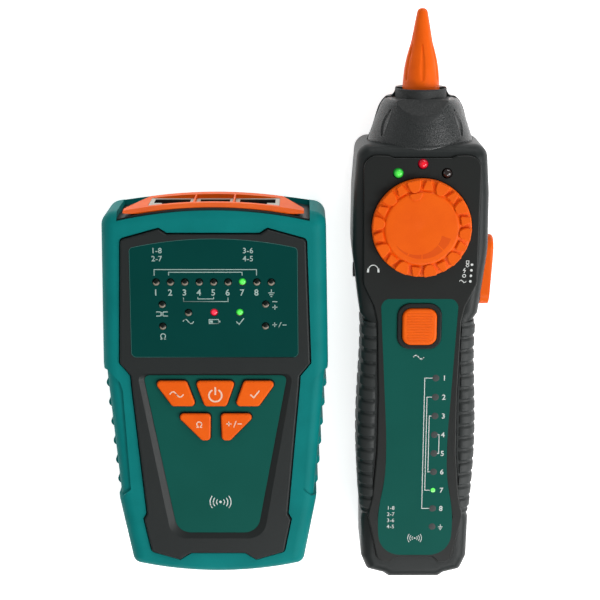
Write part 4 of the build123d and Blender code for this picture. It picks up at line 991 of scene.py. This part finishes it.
def grip_section(side, y):
    """Points up the side, over the edge and back under the skin at one level y."""
    outer = float(np.polyval(grip_x, y))
    # the skin runs out over the last 1.6 mm at both ends
    end = max(min(y - grip_low, grip_high - y) / 1.6, 0.0)
    end = min(end, 1.0) ** 0.5
    seam = float(np.interp(y, seam_y, seam_x)) + 0.35
    rib = rib_height(y)
    front = []
    for k in range(13):
        z = 5.0 + (shell_top - edge_radius - 5.0) * k / 12
        rise = (0.05 + 0.75 * rib * min(k / 2, 1)) * end
        front.append((outer - 0.75 + rise, z))
    for k in range(1, 13):
        turn = pi / 2 * k / 12
        rise = (0.05 + 0.72 * rib * (1 - 0.2 * k / 12)) * end
        radius = edge_radius - 0.5 + rise
        x = outer - 0.75 - 4.1 + radius * cos(turn)
        front.append((x, shell_top - edge_radius + 0.42 + radius * sin(turn)))
    last = front[-1][0]
    for k in range(1, 7):
        share = k / 6
        x = last + (max(seam, 0) - last) * share if last > seam else last
        rise = (0.05 + 0.58 * rib * (1 - share) ** 0.5) * end
        front.append((x, shell_top - 0.1 + rise))
    # the underside: the same points moved inwards on the flank and down on the edge
    back = [(x - 0.9, z) if z < shell_top - 3 else (x, z - 0.8) for x, z in front[::-1]]
    return [on_rx(side * x, y, z) for x, z in front + back]


levels = [grip_low + (grip_high - grip_low) * k / 380 for k in range(381)]
for side, name in ((-1, "left"), (1, "right")):
    skin = loft([grip_section(side, y) for y in levels])
    mesh_piece("grip_skin_" + name, *skin, grip_rubber, "receiver", "grip_rubber",
               ("rx_" + name + "_grip",), 40)

# %% [markdown]
# ## Printed signs
# Numbers, brackets and signs are pale ink on the film. Ink is modelled as a skin of
# three hundredths of a millimetre: strokes follow a path, and numerals come from the
# built-in typeface. Only numbers and general signs are printed.


# %% Ink
class Ink:
    """Strokes, areas and numerals gathered for one printed piece, in local millimetres."""

    def __init__(self, place, level, thick=0.03):
        self.place, self.low, self.high = place, level - 0.02, level + thick
        self.parts = []

    def area(self, path):
        """The area inside a closed path."""
        self.parts.append(loft([[self.place(*p, z) for p in path] for z in (self.low, self.high)]))

    def stroke(self, path, wide, closed=False):
        """A line of even width, a block for each stretch; joints are mitred."""
        path = [Vector(p) for p in path]
        last = len(path) - 1
        left, right = [], []
        for i, here in enumerate(path):
            first = (here - path[i - 1]).normalized() if i or closed else None
            second = (path[(i + 1) % len(path)] - here).normalized() if i < last or closed else first
            first = second if first is None else first
            side = Vector((-(first + second).y, (first + second).x)).normalized()
            side *= wide / 2 / max(side.dot(Vector((-first.y, first.x))), 0.4)
            left.append(here + side)
            right.append(here - side)
        for i in range(last + 1 if closed else last):
            j = (i + 1) % len(path)
            self.area([left[i], right[i], right[j], left[j]])

    def ring(self, x, y, radius, wide, start=0.0, end=360.0, steps=20):
        """A whole ring, or an arc between two angles in degrees."""
        whole = end - start == 360
        turns = [radians(start + (end - start) * k / steps) for k in range(steps if whole else steps + 1)]
        self.stroke([(x + radius * cos(a), y + radius * sin(a)) for a in turns], wide, whole)

    def dot(self, x, y, radius):
        self.area([(x + radius * cos(a), y + radius * sin(a)) for a in around(16)])

    def numerals(self, words, x, y, high, bold=0.012, align="CENTER"):
        """Digits in the built-in typeface; x, y is the middle (or the left end) of the line."""
        text = bpy.data.curves.new("numerals", "FONT")
        text.body, text.size, text.align_x = words, 1.0, align
        text.offset, text.resolution_u = bold, 3
        text.space_character = 1.06
        holder = bpy.data.objects.new("numerals", text)
        scene.collection.objects.link(holder)
        bpy.context.view_layer.update()
        flat = bpy.data.meshes.new_from_object(holder.evaluated_get(bpy.context.evaluated_depsgraph_get()))
        bpy.data.objects.remove(holder)
        work = bmesh.new()
        work.from_mesh(flat)
        bmesh.ops.remove_doubles(work, verts=work.verts, dist=1e-5)
        raised = bmesh.ops.extrude_face_region(work, geom=work.faces[:])
        for v in [g for g in raised["geom"] if isinstance(g, bmesh.types.BMVert)]:
            v.co.z = 1.0
        work.verts.index_update()
        # digits are 0.69 of the size of their typeface
        size = high / 0.69
        points = []
        for v in work.verts:
            level = self.high if v.co.z > 0.5 else self.low
            points.append(self.place(x + v.co.x * size, y + v.co.y * size - high / 2, level))
        self.parts.append((points, [tuple(v.index for v in f.verts) for f in work.faces]))
        work.free()

    def done(self, name, finish, body):
        """Make the piece from everything gathered."""
        mesh_piece(name, *merged(self.parts), finish, body, "label_film", (), 30)


def ink_finish(name, dark, light, roughness):
    paint = Painter(name)
    screen = paint.noise(0.16 * mm, detail=2)
    cloud = paint.noise(5 * mm)
    paint.set(Base_Color=paint.blend((screen * 0.6 + cloud * 0.4).held(), dark, light))
    paint.set(Roughness=roughness + screen * 0.1, Specular_IOR_Level=0.2)
    return paint.material


pale_ink = ink_finish("pale_ink", (0.30, 0.42, 0.39), (0.42, 0.56, 0.52), 0.45)
white_ink = ink_finish("white_ink", (0.62, 0.66, 0.64), (0.78, 0.82, 0.80), 0.45)
button_ink = ink_finish("button_ink", (0.80, 0.52, 0.36), (0.92, 0.68, 0.54), 0.45)
# painted highlight, laid along the edge of the display
edge_highlight_ink = ink_finish("edge_highlight_ink", (0.03, 0.11, 0.10), (0.05, 0.16, 0.145), 0.4)
# painted shadow, laid in the gaps round the buttons
gap_shadow_ink = ink_finish("gap_shadow_ink", (0.002, 0.010, 0.008), (0.004, 0.018, 0.014), 0.6)
print("inks ready")

# %% [markdown]
# ## General signs
# Where a word would name a control, a general sign does: a wave for tracing, a tick for
# testing, the omega for resistance, plus and minus for polarity, the earth sign for the
# screen of a cable. Each is a few strokes.

# %% Signs
def omega(ink, x, y, high, wide):
    """The resistance sign."""
    r = high * 0.42
    foot = y - high * 0.45
    arc = [(x + r * cos(radians(a)), y + high * 0.1 + r * sin(radians(a))) for a in range(-58, 239, 18)]
    near, far = r * 0.45, r * 1.15
    ink.stroke([(x + far, foot), (x + near, foot), *arc, (x - near, foot), (x - far, foot)], wide)


def tick(ink, x, y, size, wide):
    path = [(-0.5, 0), (-0.12, -0.4), (0.55, 0.45)]
    ink.stroke([(x + size * across, y + size * up) for across, up in path], wide)


def sine(ink, x, y, long, high, wide):
    ink.stroke([(x - long / 2 + long * k / 14, y + high / 2 * sin(2 * pi * k / 14)) for k in range(15)], wide)


def plus(ink, x, y, size, wide):
    ink.stroke([(x - size / 2, y), (x + size / 2, y)], wide)
    ink.stroke([(x, y - size / 2), (x, y + size / 2)], wide)


def earth(ink, x, y, halves, step, stem, wide):
    """Three shrinking bars under a stem."""
    for k, half in enumerate(halves):
        ink.stroke([(x - half, y - step * k), (x + half, y - step * k)], wide)
    ink.stroke([(x, y), (x, y + stem)], wide)


def sending(ink, x, y, scale):
    """A dot between three arcs on each side: a tone being sent."""
    ink.dot(x, y, 0.42 * scale)
    for radius, half in ((1.3, 42), (2.35, 38), (3.4, 38)):
        for middle in (0, 180):
            ink.ring(x, y, radius * scale, 0.3 * scale, middle - half, middle + half, 10)


print("signs ready")

# %% [markdown]
# ## Signs of the transmitter
# Over the nine windows run two brackets that tie lamp 1 to 8 and 2 to 7, and under them
# two that tie 3 to 6 and 4 to 5. The ninth lamp stands for the screen, shown by the
# earth sign. The other lamps carry small general signs.

# %% Transmitter print
pitch = 4.74
row = [pitch * (i - 4) for i in range(9)]
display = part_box("tx_display_label")[1].z / mm
ink = Ink(on_tx, display)
for i in range(8):
    ink.numerals(str(i + 1), row[i] - 0.2, 101.55, 2.05, bold=0.016)
earth(ink, row[8], 101.4, (1.0, 0.62, 0.26), 0.62, 1.2, 0.28)
brackets = ((0, 7, 109.3, 107.3), (1, 6, 108.4, 107.3), (2, 5, 98.45, 99.75), (3, 4, 99.35, 100.0))
for first, last, top, foot in brackets:
    left, right = row[first] - 0.55, row[last] - 0.1
    ink.stroke([(left, foot), (left, top), (right, top), (right, foot)], 0.26)
for words, x, y in (("1-8", -20.3, 115.7), ("2-7", -20.3, 113.0), ("3-6", 9.6, 115.7), ("4-5", 9.6, 113.0)):
    ink.numerals(words, x, y, 1.75, align="LEFT")
# short: two crossing wires
for start, cross in ((94.9, 93.7), (93.5, 94.7)):
    ink.stroke([(-19.2, start), (-17.9, start), (-17.3, cross), (-16.7, start), (-15.3, start)], 0.3)
omega(ink, -17.1, 86.4, 1.9, 0.3)
sine(ink, -8.6, 91.6, 3.6, 1.5, 0.32)
# battery: case, pole and what is left in it
ink.stroke([(-1.7, 90.9), (1.4, 90.9), (1.4, 92.3), (-1.7, 92.3)], 0.28, True)
ink.area([(1.6, 91.3), (2.0, 91.3), (2.0, 91.9), (1.6, 91.9)])
ink.area([(-1.4, 91.2), (-0.5, 91.2), (-0.5, 92.0), (-1.4, 92.0)])
tick(ink, 8.5, 91.6, 2.4, 0.34)
# polarity: minus over plus, and plus with minus
ink.stroke([(19.3, 98.4), (20.9, 98.4)], 0.3)
plus(ink, 20.1, 96.5, 1.6, 0.3)
plus(ink, 20.0, 90.5, 1.5, 0.28)
ink.stroke([(21.3, 89.6), (22.2, 91.4)], 0.24)
ink.stroke([(22.6, 90.4), (23.9, 90.4)], 0.28)
ink.done("display_print", pale_ink, "transmitter")

# painted highlight: a pale hair line round the edge of the display, whose upper side is an arc of 25 points
edge = Ink(on_tx, display, 0.02)
arc = [(x, 116.5 + 3.1 * (1 - (x / 27.5) ** 2)) for x in [27.5 - 55.0 * k / 24 for k in range(25)]]
outline = rounded([(-27.8, 79.25), (27.8, 79.25), *arc], [1.7, 1.7, 1.3] + [0] * 23 + [1.3])
edge.stroke(outline, 0.16, True)
edge.done("display_edge", edge_highlight_ink, "transmitter")

keypad_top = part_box("tx_keypad_label")[1].z / mm
keypad = Ink(on_tx, keypad_top)
sending(keypad, 1.1, 27.0, 1.06)
keypad.done("keypad_print", white_ink, "transmitter")

# %% [markdown]
# ## Caps and signs of the buttons
# Each button gets a softly edged cap over its imported shape, and painted shadow in the gap round
# it. Its sign is printed on the cap, as a piece of its own that travels with the button.

# %% Button caps and signs
def plan_hull(node, depth):
    """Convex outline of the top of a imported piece, in millimetres of the transmitter."""
    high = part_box(node)[1].z - depth * mm
    spots = sorted({(round((v.co.x - tx_origin.x) / mm, 3), round((v.co.y - tx_origin.y) / mm, 3))
                    for v in nodes[node].data.vertices if v.co.z > high})
    hull = []
    for run in (spots, spots[::-1]):
        chain = []
        for p in run:
            while len(chain) > 1 and ((chain[-1][0] - chain[-2][0]) * (p[1] - chain[-2][1])
                                      - (chain[-1][1] - chain[-2][1]) * (p[0] - chain[-2][0])) <= 0:
                chain.pop()
            chain.append(p)
        hull += chain[:-1]
    return [Vector(p) for p in hull]


button_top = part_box("tx_power_button")[1].z / mm
cap_top = button_top + 0.35
for key in ("scan", "power", "test", "ohm", "polarity"):
    outline = shrunk(plan_hull("tx_" + key + "_button", 0.8), -0.25)
    mesh_piece("cap_" + key, *pad(outline, button_top - 0.3, cap_top, 0.6, 6, on_tx), control_orange,
               "tx_" + key + "_key", "orange_plastic", (), 40)
    # painted shadow: a dark stroke in the gap round the cap
    gap = Ink(on_tx, keypad_top, 0.02)
    gap.stroke(shrunk(outline, -0.12), 0.55, True)
    gap.done("gap_" + key, gap_shadow_ink, "transmitter")

sign = {key: Ink(on_tx, cap_top) for key in ("power", "scan", "test", "ohm", "polarity")}
sign["power"].ring(0.0, 66.0, 2.15, 0.55, 118, 422, 28)
sign["power"].stroke([(0.0, 66.2), (0.0, 69.0)], 0.55)
sine(sign["scan"], -13.0, 66.4, 4.6, 1.9, 0.42)
tick(sign["test"], 13.2, 66.4, 2.9, 0.46)
omega(sign["ohm"], -5.6, 55.6, 2.0, 0.36)
plus(sign["polarity"], 4.4, 55.9, 1.7, 0.36)
sign["polarity"].stroke([(6.0, 54.7), (6.9, 57.0)], 0.3)
sign["polarity"].stroke([(7.3, 55.9), (8.8, 55.9)], 0.36)
for key, ink in sign.items():
    ink.done(key + "_sign", button_ink, "tx_" + key + "_key")

# %% [markdown]
# ## Film and push button of the receiver
# The film's outline is waisted and has a window for the push button, reached from its
# upper edge by a hair-thin slit. The button carries fine ribs across its cap, so that a
# thumb finds it in the dark.

# %% Receiver film
right = [(0.01, 101.2), (11.4, 101.2), (12.75, 98.9), (10.25, 52.0), (10.4, 38.5), (13.0, 24.6), (12.1, 9.7)]
bends = [0, 2.4, 2.4, 200, 60, 50, 7.6]
opening = [(-0.01, 99.8), (-7.4, 99.8), (-7.4, 84.0), (7.4, 84.0), (7.4, 99.8), (0.01, 99.8)]
corners = right + [(-x, y) for x, y in right[::-1]] + opening
path = rounded(corners, bends + bends[::-1] + [0, 4.3, 4.3, 4.3, 4.3, 0], 8)
film_low, film_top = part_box("rx_label")[0].z / mm, rx_face / mm + 0.03
film_skin = loft([[on_rx(*p, z) for p in path] for z in (film_low, film_top)])
mesh_piece("receiver_film", *film_skin, keypad_film, "receiver", "label_film", ("rx_label",), 30)

# %% Push button
push_low, push_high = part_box("rx_scan_button")
x, y = (push_low.x + push_high.x) / 2 / mm, (push_low.y + push_high.y) / 2 / mm
top = push_high.z / mm - 0.2
block = rounded([(x - 5.7, y - 6.2), (x + 5.7, y - 6.2), (x + 5.7, y + 6.2), (x - 5.7, y + 6.2)], 3.0, 8)
mesh_piece("push_cap", *pad(block, top - 4, top, 0.8, 8), control_orange, "rx_push", "orange_plastic",
           ("rx_scan_button",), 40)
rib = rounded([(-4.2, -0.24), (4.2, -0.24), (4.2, 0.24), (-4.2, 0.24)], 0.22, 4)
spots = [(in_mm(x, y + (i - 5) * 0.92, top), 0, (1, 1, 1)) for i in range(11)]
copies("push_ribs", pad(rib, -0.3, 0.1, 0.18, 4), spots, control_orange, "rx_push", "orange_plastic", (), 40)

# %% [markdown]
# ## Signs of the receiver
# The wire map is repeated as a column of lamps with brackets on the left for 1-8, 2-7
# and 3-6, and a short one on the right for 4-5.

# %% Receiver print
ink = Ink(on_rx, film_top)
lamp_y = [73.9 - 6.7 * i for i in range(9)]
for i in range(8):
    ink.numerals(str(i + 1), 8.75, lamp_y[i], 1.75)
earth(ink, 8.75, lamp_y[8] - 0.1, (0.75, 0.48, 0.2), 0.5, 0.9, 0.24)
for first, last, near, far in ((0, 7, 4.75, 2.2), (1, 6, 4.75, 3.1), (2, 5, 4.75, 4.0), (3, 4, 7.0, 7.5)):
    upper, lower = lamp_y[first], lamp_y[last]
    ink.stroke([(near, upper), (far, upper), (far, lower), (near, lower)], 0.24)
for words, y in (("1-8", 27.2), ("2-7", 24.9), ("3-6", 22.6), ("4-5", 20.3)):
    ink.numerals(words, -9.7, y, 1.3, bold=0.006, align="LEFT")
sine(ink, 0.0, 81.2, 3.6, 1.3, 0.34)
sending(ink, 0.0, 16.0, 0.7)
ink.done("receiver_print", white_ink, "receiver")

# headphones at the socket, and torch, mains finder, off and tone beside the slider
plate_ink = Ink(on_rx, rx_face / mm)
plate_ink.ring(-15.5, 111.1, 1.55, 0.28, 8, 172, 14)
for side in (-1, 1):
    plate_ink.stroke([(-15.5 + side * 1.62, 111.5), (-15.5 + side * 1.75, 110.2)], 0.62)
for i in range(4):
    plate_ink.dot(16.75 - 0.12 * i, 112.8 - 1.87 * i, 0.42)
plate_ink.ring(15.3, 112.5, 0.42, 0.22)
plate_ink.stroke([(14.9, 113.2), (15.7, 113.2), (15.7, 114.1), (14.9, 114.1)], 0.2, True)
plate_ink.stroke([(14.6, 111.7), (14.0, 110.9), (14.7, 110.9), (14.2, 110.1)], 0.24)
plate_ink.ring(14.3, 109.06, 0.5, 0.24)
sine(plate_ink, 13.9, 107.2, 2.2, 0.8, 0.24)
plate_ink.done("plate_print", white_ink, "receiver")

# %% [markdown]
# ## End of the scene
# The visual model must fill the same box as the imported one.

# %% End
print("scene built")
